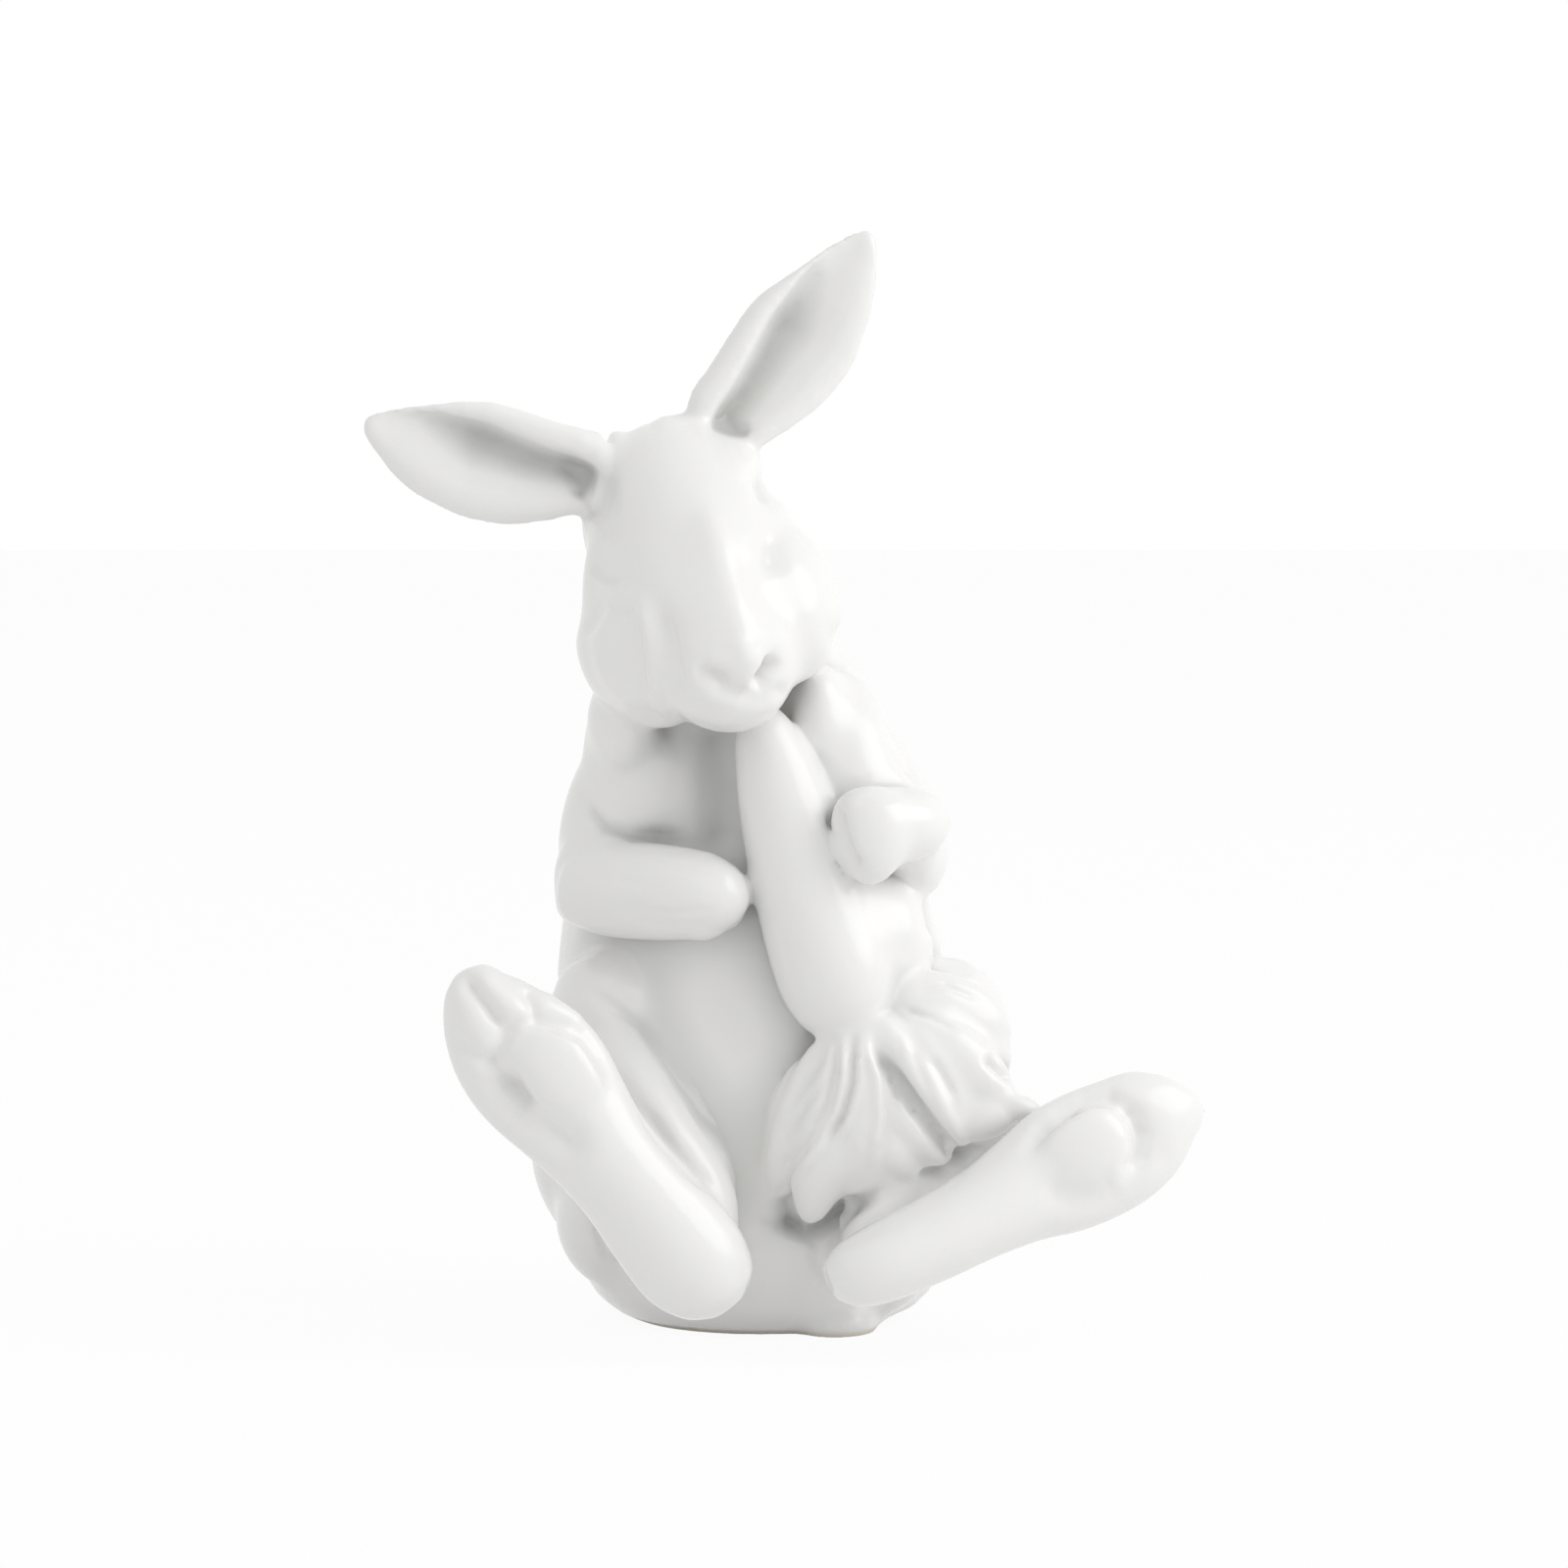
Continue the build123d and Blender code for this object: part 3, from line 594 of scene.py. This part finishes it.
for leaf, lumps in LEAVES.items():
    eggs_seen(leaf, lumps)
tool_marks(LEAF_MARKS)
for number in range(VEINS):
    tool_marks({"groove": ("leaf_1 leaf_2", vein(number, VEIN_GROOVE), VEIN_WIDTH, GROOVE_RISE),
                "ridge": ("leaf_1 leaf_2", vein(number, VEIN_RIDGE), VEIN_WIDTH, RIDGE_RISE)})
tool_marks(CAVITY_MARKS)

# Outline
# The outline is pared with a wire at some places and built out at others, where the rise is over 0.
OUTLINE_MARKS = {
    "right jaw": ("head", [(591, 662), (598, 704)], 2.5, 0.55),
    "right flank": ("body right_arm right_leg", [(569, 935), (571, 988)], 2.0, 0.5),
    "right elbow": ("body right_arm", [(566, 895), (566, 915)], 2.0, 0.1),
    "root of the right ear": ("right_ear head", [(612, 440), (628, 445)], 1.2, 0.8),
    "crown": ("head", [(642, 440), (662, 432)], 1.2, -0.5),
    "inner edge of the left ear": ("left_ear", [
        (700, 406), (722, 376), (745, 340), (778, 298)], 2.0, 0.3),
    "left ear below its tip": ("left_ear", [(820, 270), (868, 240)], 2.0, -0.4),
    "outer edge of the left ear": ("left_ear", [(890, 250), (891, 294), (880, 335)], 2.0, -0.8),
    "upper edge of the right ear": ("right_ear", [(400, 416), (444, 412)], 1.5, -0.4),
    "lower edge of the right ear": ("right_ear", [(400, 485), (540, 535), (560, 533)], 2.0, 0.3),
    "left knee": ("left_leg leaf_6 body", [(968, 972), (994, 985)], 1.5, -0.5),
    "left elbow": ("left_arm body", [(968, 850), (962, 895)], 2.0, -0.5),
    "left temple": ("head", [(780, 491), (784, 501)], 1.75, -2.1),
    "left jaw": ("head body", [(852, 648), (866, 672)], 1.5, -0.7),
    "left upper arm": ("body left_arm", [(915, 752), (932, 778)], 2.5, -0.7),
    "left flank": ("body left_arm", [(949, 925), (950, 942)], 1.6, -0.8),
    "notch beside the leaves": ("leaf_5 leaf_6 left_leg", [(1031, 1104), (1034, 1114)], 1.2, -0.6),
    "top of the left toes": ("left_foot", [(1180, 1098), (1205, 1106)], 2.0, -0.5),
    "end of the left toes": ("left_foot", [(1226, 1135), (1220, 1160)], 2.0, -0.4),
    "left edge of the foot": ("body", [(940, 1326), (918, 1342)], 1.5, -0.5),
    "end of the right toes": ("right_foot", [(490, 986), (510, 992)], 1.5, -0.6),
}
tool_marks(OUTLINE_MARKS, on_outline=True)

# Luting
# The leather-hard pieces are stuck together with slip and sponged, so that one skin runs over them
# all. The skin is worked as one and then parted again along the seams.
CLAY_GRAIN = 0.4 * MM
FIRST_SPONGING = 12
SPONGE_RETURN = 1.04
FILL_RATE, FILL_STEPS_BETWEEN_NORMALS = 0.8, 10


def add_object(name, data):
    """A new object in the scene."""
    made = bpy.data.objects.new(name, data)
    bpy.context.scene.collection.objects.link(made)
    return made


joined = bmesh.new()
for piece, made in clay.items():
    loose = bpy.data.meshes.new(piece)
    made.to_mesh(loose)
    joined.from_mesh(loose)
    bpy.data.meshes.remove(loose)
luted_mesh = bpy.data.meshes.new("luted")
joined.to_mesh(luted_mesh)
joined.free()
luted = add_object("luted", luted_mesh)
remesh = luted.modifiers.new("sponged", "REMESH")
remesh.mode = "VOXEL"
remesh.voxel_size = CLAY_GRAIN
skin = bpy.data.meshes.new_from_object(luted.evaluated_get(bpy.context.evaluated_depsgraph_get()))
bpy.data.objects.remove(luted)


def read_all(items, key, kind=float, columns=1):
    """What every item of a mesh has under a key: one value each, or a row of values."""
    values = np.empty(len(items) * columns, dtype=kind)
    items.foreach_get(key, values)
    return values.reshape(-1, columns) if columns > 1 else values


count = len(skin.vertices)
spots = read_all(skin.vertices, "co", columns=3)
edges = read_all(skin.edges, "vertices", int, columns=2)
degree = np.bincount(edges.ravel(), minlength=count)[:, None]


def mean_of_neighbours(values):
    """Each point's mean over the points that it shares an edge with."""
    total = np.zeros_like(values)
    for column in range(values.shape[1]):
        total[:, column] = (np.bincount(edges[:, 0], values[edges[:, 1], column], count)
                            + np.bincount(edges[:, 1], values[edges[:, 0], column], count))
    return total / degree


def outward():
    """The skin's normals at the spots where its points are now."""
    skin.vertices.foreach_set("co", spots.ravel())
    skin.update()
    return read_all(skin.vertex_normals, "vector", columns=3)


def sponge(steps, share=0.5):
    """Evens the skin out without shrinking it."""
    global spots
    for _ in range(steps):
        spots = spots + share * (mean_of_neighbours(spots) - spots)
        spots = spots - SPONGE_RETURN * share * (mean_of_neighbours(spots) - spots)


def fill_seams(steps, share):
    """Brings the skin out where it is hollow, as slip fills a seam."""
    global spots
    for step in range(steps):
        if step % FILL_STEPS_BETWEEN_NORMALS == 0:
            normals = outward()
        pull = mean_of_neighbours(spots) - spots
        rise = np.maximum((pull * normals).sum(1, keepdims=True), 0)
        spots = spots + FILL_RATE * share * rise * normals


sponge(FIRST_SPONGING)

# Parting
# Every face belongs to the piece of clay that it lies nearest to. Small scraps go to the piece
# that surrounds them, in a few passes, because a scrap may lie in another.
SEAM_REACH, PIECE_MARGIN = 3 * MM, 2 * MM
VOTES, OWN_VOTE = 6, 0.5
SCRAP_FACES, SCRAP_PASSES = 220, 3
names = list(clay)
face_total = len(skin.polygons)
centres = read_all(skin.polygons, "center", columns=3)
nearest = np.full(face_total, np.inf)
label = np.zeros(face_total, dtype=int)
for number, name in enumerate(names):
    tree = BVHTree.FromBMesh(clay[name])
    corners = np.array([vert.co for vert in clay[name].verts])
    near = np.all((centres > corners.min(0) - PIECE_MARGIN) & (centres < corners.max(0) + PIECE_MARGIN),
                  axis=1)
    for index in np.flatnonzero(near):
        found = tree.find_nearest(centres[index], min(nearest[index], SEAM_REACH))
        if found[3] is not None:
            nearest[index], label[index] = found[3], number

loop_faces = np.repeat(np.arange(face_total), read_all(skin.polygons, "loop_total", int))
order = np.argsort(read_all(skin.loops, "edge_index", int), kind="stable")
beside = loop_faces[order].reshape(-1, 2)


def vote(label):
    """Each face takes the label that most of its neighbours have."""
    kinds = len(names)
    cells = np.concatenate([beside[:, 0] * kinds + label[beside[:, 1]],
                            beside[:, 1] * kinds + label[beside[:, 0]]])
    counts = np.bincount(cells, minlength=face_total * kinds).reshape(face_total, kinds).astype(float)
    counts[np.arange(face_total), label] += OWN_VOTE
    return counts.argmax(1)


for _ in range(VOTES):
    label = vote(label)

neighbours = [[] for _ in range(face_total)]
for one, two in beside.tolist():
    neighbours[one].append(two)
    neighbours[two].append(one)
for _ in range(SCRAP_PASSES):
    seen = np.zeros(face_total, dtype=bool)
    for first in range(face_total):
        if seen[first]:
            continue
        patch, rim, reach = [first], {}, [first]
        seen[first] = True
        while reach:
            face = reach.pop()
            for other in neighbours[face]:
                if label[other] != label[first]:
                    rim[label[other]] = rim.get(label[other], 0) + 1
                elif not seen[other]:
                    seen[other] = True
                    patch.append(other)
                    reach.append(other)
        if len(patch) < SCRAP_FACES and rim:
            label[patch] = max(rim, key=rim.get)

# Filling
# The seams inside a casting are filled until they hardly show, and those between the carrot, its
# leaves and the figure are left crisp. Some hollows are filled fully, and some swellings are worked
# flat with a wet brush. Places are in mm, each with its reach.
FILL_STEPS, BRUSH_STEPS, BRUSH_SHARE, SECOND_SPONGING = 110, 40, 0.5, 6
SEAM_SHARES = {
    "body": 0.7, "head": 1.0, "right_arm": 0.8, "left_arm": 0.9, "right_leg": 1.0, "left_leg": 0.7,
    "right_foot": 0.8, "left_foot": 0.6, "tail": 0.6, "carrot": 0.45, "right_ear": 0.12, "left_ear": 0.12,
}
LEAF_SEAM_SHARE = 0.15
CRISP_PIECES = ("carrot", "right_ear", "left_ear", *LEAVES)
FILLED = {
    "right shoulder": ((-17, -7, 72), 12),
    "left shoulder": ((13, -4, 71), 13),
    "right elbow": ((-20, -8, 58), 9),
    "left flank": ((13, -9, 47), 10),
    "left wrist": ((14, -19, 63), 7),
    "behind the carrot": ((7, -20, 45), 8),
    "beside the carrot": ((3, -18, 66), 8),
    "right shank": ((-12.7, -26, 20), 8),
    "right breast": ((-19, -14, 72), 8),
    "below the left cheek": ((6, -19, 76.5), 7),
    "right armpit": ((-19, -10, 66), 9),
    "right flank": ((-18.5, -12, 44), 9),
    "left heel": ((7, -24, 18), 5),
    "left knee": ((14, -18, 37), 4),
    "left forearm": ((15, -22, 59), 6),
    "lap": ((12.5, -19, 45), 9),
    "between arm and carrot": ((7, -12, 69), 9),
}
BRUSHED = {
    "right breast": ((-18, -12, 69), 10),
    "right flank": ((-18.5, -13, 43), 9),
    "belly": ((-17, -16, 38.5), 8.5),
    "right armpit": ((-17, -12, 61), 8),
    "left wrist": ((14, -23, 59.5), 8),
    "left upper arm": ((14, -17, 66), 6),
    "lap": ((13.5, -19, 44), 8),
    "between arm and carrot": ((9, -14, 67), 10),
}
BRUSHED_FACE, FACE_REACH = seen_at(685, 650, -22), 19
BRUSHED_HEEL, HEEL_REACH = (7, -24, 18), 4.5
corner_spots = read_all(skin.loops, "vertex_index", int)
members = np.bincount(corner_spots * len(names) + label[loop_faces], minlength=count * len(names))
members = members.reshape(count, len(names)).astype(float)
members /= members.sum(1, keepdims=True)
soft = mean_of_neighbours(mean_of_neighbours(mean_of_neighbours(members)))


def near_to(middle, reach):
    """How near each point lies to a place in mm: 1 in the middle, 0 a fifth past its reach."""
    away = np.linalg.norm(spots / MM - np.array(middle), axis=1, keepdims=True) / reach
    return np.clip(1.2 - away, 0, 1) ** 0.5


filled = soft @ np.array([SEAM_SHARES.get(name, LEAF_SEAM_SHARE) for name in names])[:, None]
for middle, reach in FILLED.values():
    filled = np.maximum(filled, near_to(middle, reach))
fill_seams(FILL_STEPS, filled)
brushed = near_to(BRUSHED_FACE, FACE_REACH)
for middle, reach in BRUSHED.values():
    brushed = np.maximum(brushed, near_to(middle, reach))
crisp = soft[:, [name in CRISP_PIECES for name in names]]
brushed = np.maximum(brushed * (1 - crisp.sum(1, keepdims=True)), near_to(BRUSHED_HEEL, HEEL_REACH))
for _ in range(BRUSH_STEPS):
    spots = spots + BRUSH_SHARE * brushed * (mean_of_neighbours(spots) - spots)
sponge(SECOND_SPONGING)

# Tooling
# The noted marks are drawn into the damp clay, each with a round section and tapered ends, where
# the clay faces the photograph's camera. Those of the outline are made where it lies edge on. A
# stroke shorter than DAB_LENGTHS of its width is a dab, without taper.
MARK_REACH, DAB_LENGTHS = 3, 5
TAPER_LENGTH_SHARE, TAPER_START_SHARE = 0.22, 0.25
EDGE_ON_SPREAD, FACING_START, FACING_SPREAD = 0.5, 0.05, 0.35
LEAST_WEIGHT = 0.01
LAST_SPONGING, LAST_SPONGE_SHARE = 2, 0.4
normals = outward()
to_viewer = np.array(viewer) * MM - spots
depth_seen = -to_viewer @ np.array((0, cos(VIEW_TILT), -sin(VIEW_TILT)))
up_seen = -to_viewer @ np.array((0, sin(VIEW_TILT), cos(VIEW_TILT)))
seen_across = PHOTO_MIDDLE - to_viewer[:, 0] / depth_seen * VIEW_DISTANCE / PIXEL
seen_down = PHOTO_MIDDLE - up_seen / depth_seen * VIEW_DISTANCE / PIXEL
facing = (normals * to_viewer).sum(1) / np.linalg.norm(to_viewer, axis=1)
edge_on = np.exp(-(facing / EDGE_ON_SPREAD) ** 2)
facing = np.clip((facing + FACING_START) / FACING_SPREAD, 0, 1)
rises = np.zeros(count)
for pieces, way, width, rise, on_outline in marks:
    member = soft[:, [names.index(piece) for piece in pieces]].sum(1)
    way = np.array(way, dtype=float)
    wide = MARK_REACH * width / PIXEL
    weight = edge_on if on_outline else facing
    near = np.flatnonzero((weight > LEAST_WEIGHT) & (member > LEAST_WEIGHT)
                          & (seen_across > way[:, 0].min() - wide) & (seen_across < way[:, 0].max() + wide)
                          & (seen_down > way[:, 1].min() - wide) & (seen_down < way[:, 1].max() + wide))
    places = np.stack([seen_across[near], seen_down[near]], 1)
    lengths = np.linalg.norm(np.diff(way, axis=0), axis=1)
    gone, way_length = 0.0, lengths.sum()
    least, along = np.full(len(near), np.inf), np.zeros(len(near))
    for start, end, length in zip(way[:-1], way[1:], lengths):
        run = (end - start) / length
        offset = places - start
        t = np.clip(offset @ run, 0, length)
        away = np.linalg.norm(offset - t[:, None] * run, axis=1)
        along = np.where(away < least, (gone + t) / way_length, along)
        least = np.minimum(least, away)
        gone += length
    section = np.exp(-(least * PIXEL / width) ** 2)
    dab = on_outline or way_length < DAB_LENGTHS * width / PIXEL
    taper = np.clip(np.minimum(along, 1 - along) / TAPER_LENGTH_SHARE + TAPER_START_SHARE, 0, 1)
    rises[near] += rise * section * (1.0 if dab else taper) * member[near] * weight[near]
spots = spots + normals * rises[:, None] * MM
sponge(LAST_SPONGING, LAST_SPONGE_SHARE)
spots[:, 2] = np.maximum(spots[:, 2], 0)
normals = outward()

# Glaze
# Hard-paste porcelain, fired white under a clear felspathic glaze: glassy and finely dimpled, with painted
# shade grey in the creases and hollows, partly the glaze pooled there, and wiped off the foot, where the
# bare clay is a little warmer.
# The grey is painted shade for the creases and hollows, and partly the glaze pooled there.
CLOUD_WHITES, POOLED_AND_SHADE_GREY, BARE_CLAY = ("#edecea", "#efefee"), "#c3c4c1", "#e9e4da"
CLOUD_SIZE, DIMPLE_SIZE, DIMPLE_DEPTH = 9 * MM, 2.2 * MM, 0.03 * MM
BARE_BELOW, GLAZED_ABOVE = 0.5 * MM, 0.9 * MM
SHADE_POOL_STEPS, FULL_SHADE_POOL = 240, 1.5


def to_linear(hex_code):
    """An sRGB hex colour as linear RGBA."""
    values = [int(hex_code[i:i + 2], 16) / 255 for i in (1, 3, 5)]
    return [v / 12.92 if v <= 0.04045 else ((v + 0.055) / 1.055) ** 2.4 for v in values] + [1.0]


def add_node(material, kind, settings=None, inputs=None):
    """A node with its settings and with its inputs set or linked."""
    node = material.node_tree.nodes.new(f"ShaderNode{kind}")
    for key, value in (settings or {}).items():
        setattr(node, key, value)
    for key, value in (inputs or {}).items():
        if isinstance(value, bpy.types.NodeSocket):
            material.node_tree.links.new(value, node.inputs[key])
        else:
            node.inputs[key].default_value = value
    return node


glazed_porcelain = bpy.data.materials.new("glazed_porcelain")
glazed_porcelain.use_nodes = True
glazed_porcelain.node_tree.nodes.clear()
position = add_node(glazed_porcelain, "TexCoord").outputs["Object"]
pool_and_shade = add_node(glazed_porcelain, "Attribute", {"attribute_name": "pooled_and_painted_shade"})
cloud = add_node(glazed_porcelain, "TexNoise", inputs={
    "Vector": position, "Scale": 1 / CLOUD_SIZE, "Detail": 3.0, "Roughness": 0.55})
clouded = add_node(glazed_porcelain, "Mix", {"data_type": "RGBA"}, {
    0: cloud.outputs["Fac"], 6: to_linear(CLOUD_WHITES[0]), 7: to_linear(CLOUD_WHITES[1])})
# Painted shade: the creases and hollows are mixed toward grey by their concavity, partly for the glaze
# pooled there.
painted_shade_tint = add_node(glazed_porcelain, "Mix", {"data_type": "RGBA"}, {
    0: pool_and_shade.outputs["Fac"], 6: clouded.outputs[2], 7: to_linear(POOLED_AND_SHADE_GREY)})
high = add_node(glazed_porcelain, "SeparateXYZ", inputs={"Vector": position})
wiped = add_node(glazed_porcelain, "MapRange", inputs={
    "Value": high.outputs["Z"], "From Min": BARE_BELOW, "From Max": GLAZED_ABOVE,
    "To Min": 1.0, "To Max": 0.0})
colour = add_node(glazed_porcelain, "Mix", {"data_type": "RGBA"}, {
    0: wiped.outputs[0], 6: painted_shade_tint.outputs[2], 7: to_linear(BARE_CLAY)})
gloss = add_node(glazed_porcelain, "MapRange", inputs={
    "Value": cloud.outputs["Fac"], "To Min": 0.19, "To Max": 0.25})
roughness = add_node(glazed_porcelain, "Mix", {"data_type": "FLOAT"}, {
    0: wiped.outputs[0], 2: gloss.outputs[0], 3: 0.75})
dimples = add_node(glazed_porcelain, "TexNoise", inputs={
    "Vector": position, "Scale": 1 / DIMPLE_SIZE, "Detail": 2.0, "Roughness": 0.5})
relief = add_node(glazed_porcelain, "Bump", inputs={
    "Height": dimples.outputs["Fac"], "Distance": DIMPLE_DEPTH, "Strength": 1.0})
shader = add_node(glazed_porcelain, "BsdfPrincipled", inputs={
    "Base Color": colour.outputs[2], "Roughness": roughness.outputs[0], "IOR": 1.5,
    "Normal": relief.outputs["Normal"]})
add_node(glazed_porcelain, "OutputMaterial", inputs={"Surface": shader.outputs["BSDF"]})

# Painted shade: how far each point lies below the long-smoothed skin, which greys the creases and hollows,
# partly as pooled glaze.
smoothed = spots
for _ in range(SHADE_POOL_STEPS):
    smoothed = mean_of_neighbours(smoothed)
pooled_and_painted_shade = np.clip(((smoothed - spots) * normals).sum(1) / MM / FULL_SHADE_POOL, 0, 1)
skin.attributes.new("skin_normal", "FLOAT_VECTOR", "POINT").data.foreach_set("vector", normals.ravel())
skin.attributes.new("pooled_and_painted_shade", "FLOAT", "POINT").data.foreach_set("value", pooled_and_painted_shade)
skin.attributes.new("piece", "INT", "FACE").data.foreach_set("value", label)

# Pieces
# The skin is parted into the pieces that the figure is made of. Each is given its own wall inward,
# thin on the ears and leaves, and the inside, which doesn't show, has fewer faces.
CASTING_WALL, THIN_WALL = 1.2 * MM, 0.5 * MM
INSIDE_FACES_SHARE = 0.62


def give_wall(piece, wall):
    """Sets an inside behind the glazed skin, with fewer faces where it doesn't show."""
    bm = bmesh.new()
    bm.from_mesh(piece.data)
    outside = bm.faces.layers.int.new("outside")
    skin_normal = bm.verts.layers.float_vector["skin_normal"]
    inner_verts, inner_faces = list(bm.verts), list(bm.faces)
    drawn = bmesh.ops.extrude_face_region(bm, geom=inner_faces, use_keep_orig=True)["geom"]
    outer_faces = [item for item in drawn if isinstance(item, bmesh.types.BMFace)]
    for vert in inner_verts:
        vert.co -= vert[skin_normal] * wall
    outer_verts = {vert for face in outer_faces for vert in face.verts}
    for face in outer_faces:
        face[outside] = 1
    bm.verts.index_update()
    hidden = [vert.index for vert in inner_verts
              if not any(edge.other_vert(vert) in outer_verts for edge in vert.link_edges)]
    bm.to_mesh(piece.data)
    bm.free()
    piece.vertex_groups.new(name="hidden").add(hidden, 1.0, "REPLACE")
    coarser = piece.modifiers.new("coarser", "DECIMATE")
    coarser.ratio, coarser.vertex_group = INSIDE_FACES_SHARE, "hidden"
    mesh = bpy.data.meshes.new_from_object(piece.evaluated_get(bpy.context.evaluated_depsgraph_get()))
    piece.modifiers.clear()
    piece.vertex_groups.clear()
    piece.data = mesh
    mesh.name = piece.name


def shade(mesh):
    """Gives the outside the normals of the one skin, so that no seam shows, and leaves the rest."""
    faces_made = len(mesh.polygons)
    corner_faces = np.repeat(np.arange(faces_made), read_all(mesh.polygons, "loop_total", int))
    is_outer = read_all(mesh.attributes["outside"].data, "value", int)[corner_faces, None] > 0
    vert_normals = read_all(mesh.attributes["skin_normal"].data, "vector", columns=3)
    smooth = vert_normals[read_all(mesh.loops, "vertex_index", int)]
    plain = read_all(mesh.polygon_normals, "vector", columns=3)[corner_faces]
    mesh.polygons.foreach_set("use_smooth", np.ones(faces_made, dtype=bool))
    mesh.polygons.foreach_set("material_index", np.zeros(faces_made, dtype=int))
    mesh.normals_split_custom_set(np.where(is_outer, smooth, plain).tolist())


for name in names:
    skin.materials.append(bpy.data.materials.new(f"part_{name}"))
skin.polygons.foreach_set("material_index", label)
fused = add_object("fused", skin)
bpy.ops.object.select_all(action="DESELECT")
bpy.context.view_layer.objects.active = fused
fused.select_set(True)
bpy.ops.mesh.separate(type="MATERIAL")
castings = [item for item in bpy.context.selected_objects if item.type == "MESH"]
for piece in castings:
    name = names[piece.data.attributes["piece"].data[0].value]
    piece.name = piece.data.name = f"{name}_glazed"
    piece.data.materials.clear()
    piece.data.materials.append(glazed_porcelain)
    give_wall(piece, THIN_WALL if name in LEAVES or name.endswith("ear") else CASTING_WALL)
    shade(piece.data)
    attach(piece, "root")
    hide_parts(name)

# Floor
# A plain white sweep under and behind the figure. To the camera and in reflections most of it is
# white whatever falls on it, and the rest is paper that takes the figure's shadow.
FLOOR_REACH, GLOW_SHARE = 3.0, 0.93
PAPER_WHITE, PURE_WHITE = "#f4f4f4", "#ffffff"


def seen_or_mirrored(material):
    """1 for what the camera sees, straight, mirrored or through glass, and 0 for what only lights."""
    ray = add_node(material, "LightPath")
    mirrored = add_node(material, "Math", {"operation": "MAXIMUM"},
                        {0: ray.outputs["Is Glossy Ray"], 1: ray.outputs["Is Transmission Ray"]})
    return add_node(material, "Math", {"operation": "MAXIMUM"},
                    {0: ray.outputs["Is Camera Ray"], 1: mirrored.outputs[0]}).outputs[0]


white_paper = bpy.data.materials.new("white_paper")
white_paper.use_nodes = True
white_paper.node_tree.nodes.clear()
paper = add_node(white_paper, "BsdfDiffuse", inputs={"Color": to_linear(PAPER_WHITE)})
glow = add_node(white_paper, "Emission", inputs={"Color": to_linear(PURE_WHITE), "Strength": 1.0})
glow_share = add_node(white_paper, "Math", {"operation": "MULTIPLY"},
                      {0: seen_or_mirrored(white_paper), 1: GLOW_SHARE})
sweep = add_node(white_paper, "MixShader", inputs={
    0: glow_share.outputs[0], 1: paper.outputs[0], 2: glow.outputs[0]})
add_node(white_paper, "OutputMaterial", inputs={"Surface": sweep.outputs[0]})
bm = bmesh.new()
bmesh.ops.create_grid(bm, x_segments=1, y_segments=1, size=FLOOR_REACH)
floor_mesh = bpy.data.meshes.new("floor")
bm.to_mesh(floor_mesh)
bm.free()
floor_mesh.materials.append(white_paper)
floor = add_object("floor", floor_mesh)

# Light
# A white studio: even light from all round, and a large soft lamp high on the right.
FILL_STRENGTH = 0.78
LAMP_PLACE, LAMP_SIZE, LAMP_POWER = Vector((0.79, -0.29, 0.60)), 0.9, 3.8
LAMP_AIM = Vector((0, 0, 0.06))
studio = bpy.data.worlds.new("studio")
bpy.context.scene.world = studio
studio.use_nodes = True
studio.node_tree.nodes.clear()
fill = add_node(studio, "Background", inputs={
    "Color": to_linear(PURE_WHITE), "Strength": FILL_STRENGTH})
backdrop = add_node(studio, "Background", inputs={
    "Color": to_linear(PURE_WHITE), "Strength": 1.0})
all_round = add_node(studio, "MixShader", inputs={
    0: seen_or_mirrored(studio), 1: fill.outputs[0], 2: backdrop.outputs[0]})
add_node(studio, "OutputWorld", inputs={"Surface": all_round.outputs[0]})
lamp = bpy.data.lights.new("key", "AREA")
lamp.shape, lamp.size, lamp.energy = "DISK", LAMP_SIZE, LAMP_POWER
lamp_stand = add_object("key", lamp)
lamp_stand.location = LAMP_PLACE
lamp_stand.rotation_mode = "QUATERNION"
lamp_stand.rotation_quaternion = (LAMP_AIM - LAMP_PLACE).to_track_quat("-Z", "Y")

# Camera
# Level with the figure's middle and a little above it, as the photograph was taken.
SENSOR_WIDTH, NEAR_LIMIT = 36.0, 0.01
lens = bpy.data.cameras.new("camera")
lens.sensor_width, lens.clip_start = SENSOR_WIDTH, NEAR_LIMIT
lens.lens = SENSOR_WIDTH * VIEW_DISTANCE / (2 * PHOTO_MIDDLE * PIXEL)
camera = add_object("camera", lens)
camera.location = viewer * MM
camera.rotation_mode = "QUATERNION"
camera.rotation_quaternion = (-to_camera).to_track_quat("-Z", "Y")
bpy.context.scene.camera = camera
bpy.context.scene.view_settings.view_transform = "Standard"
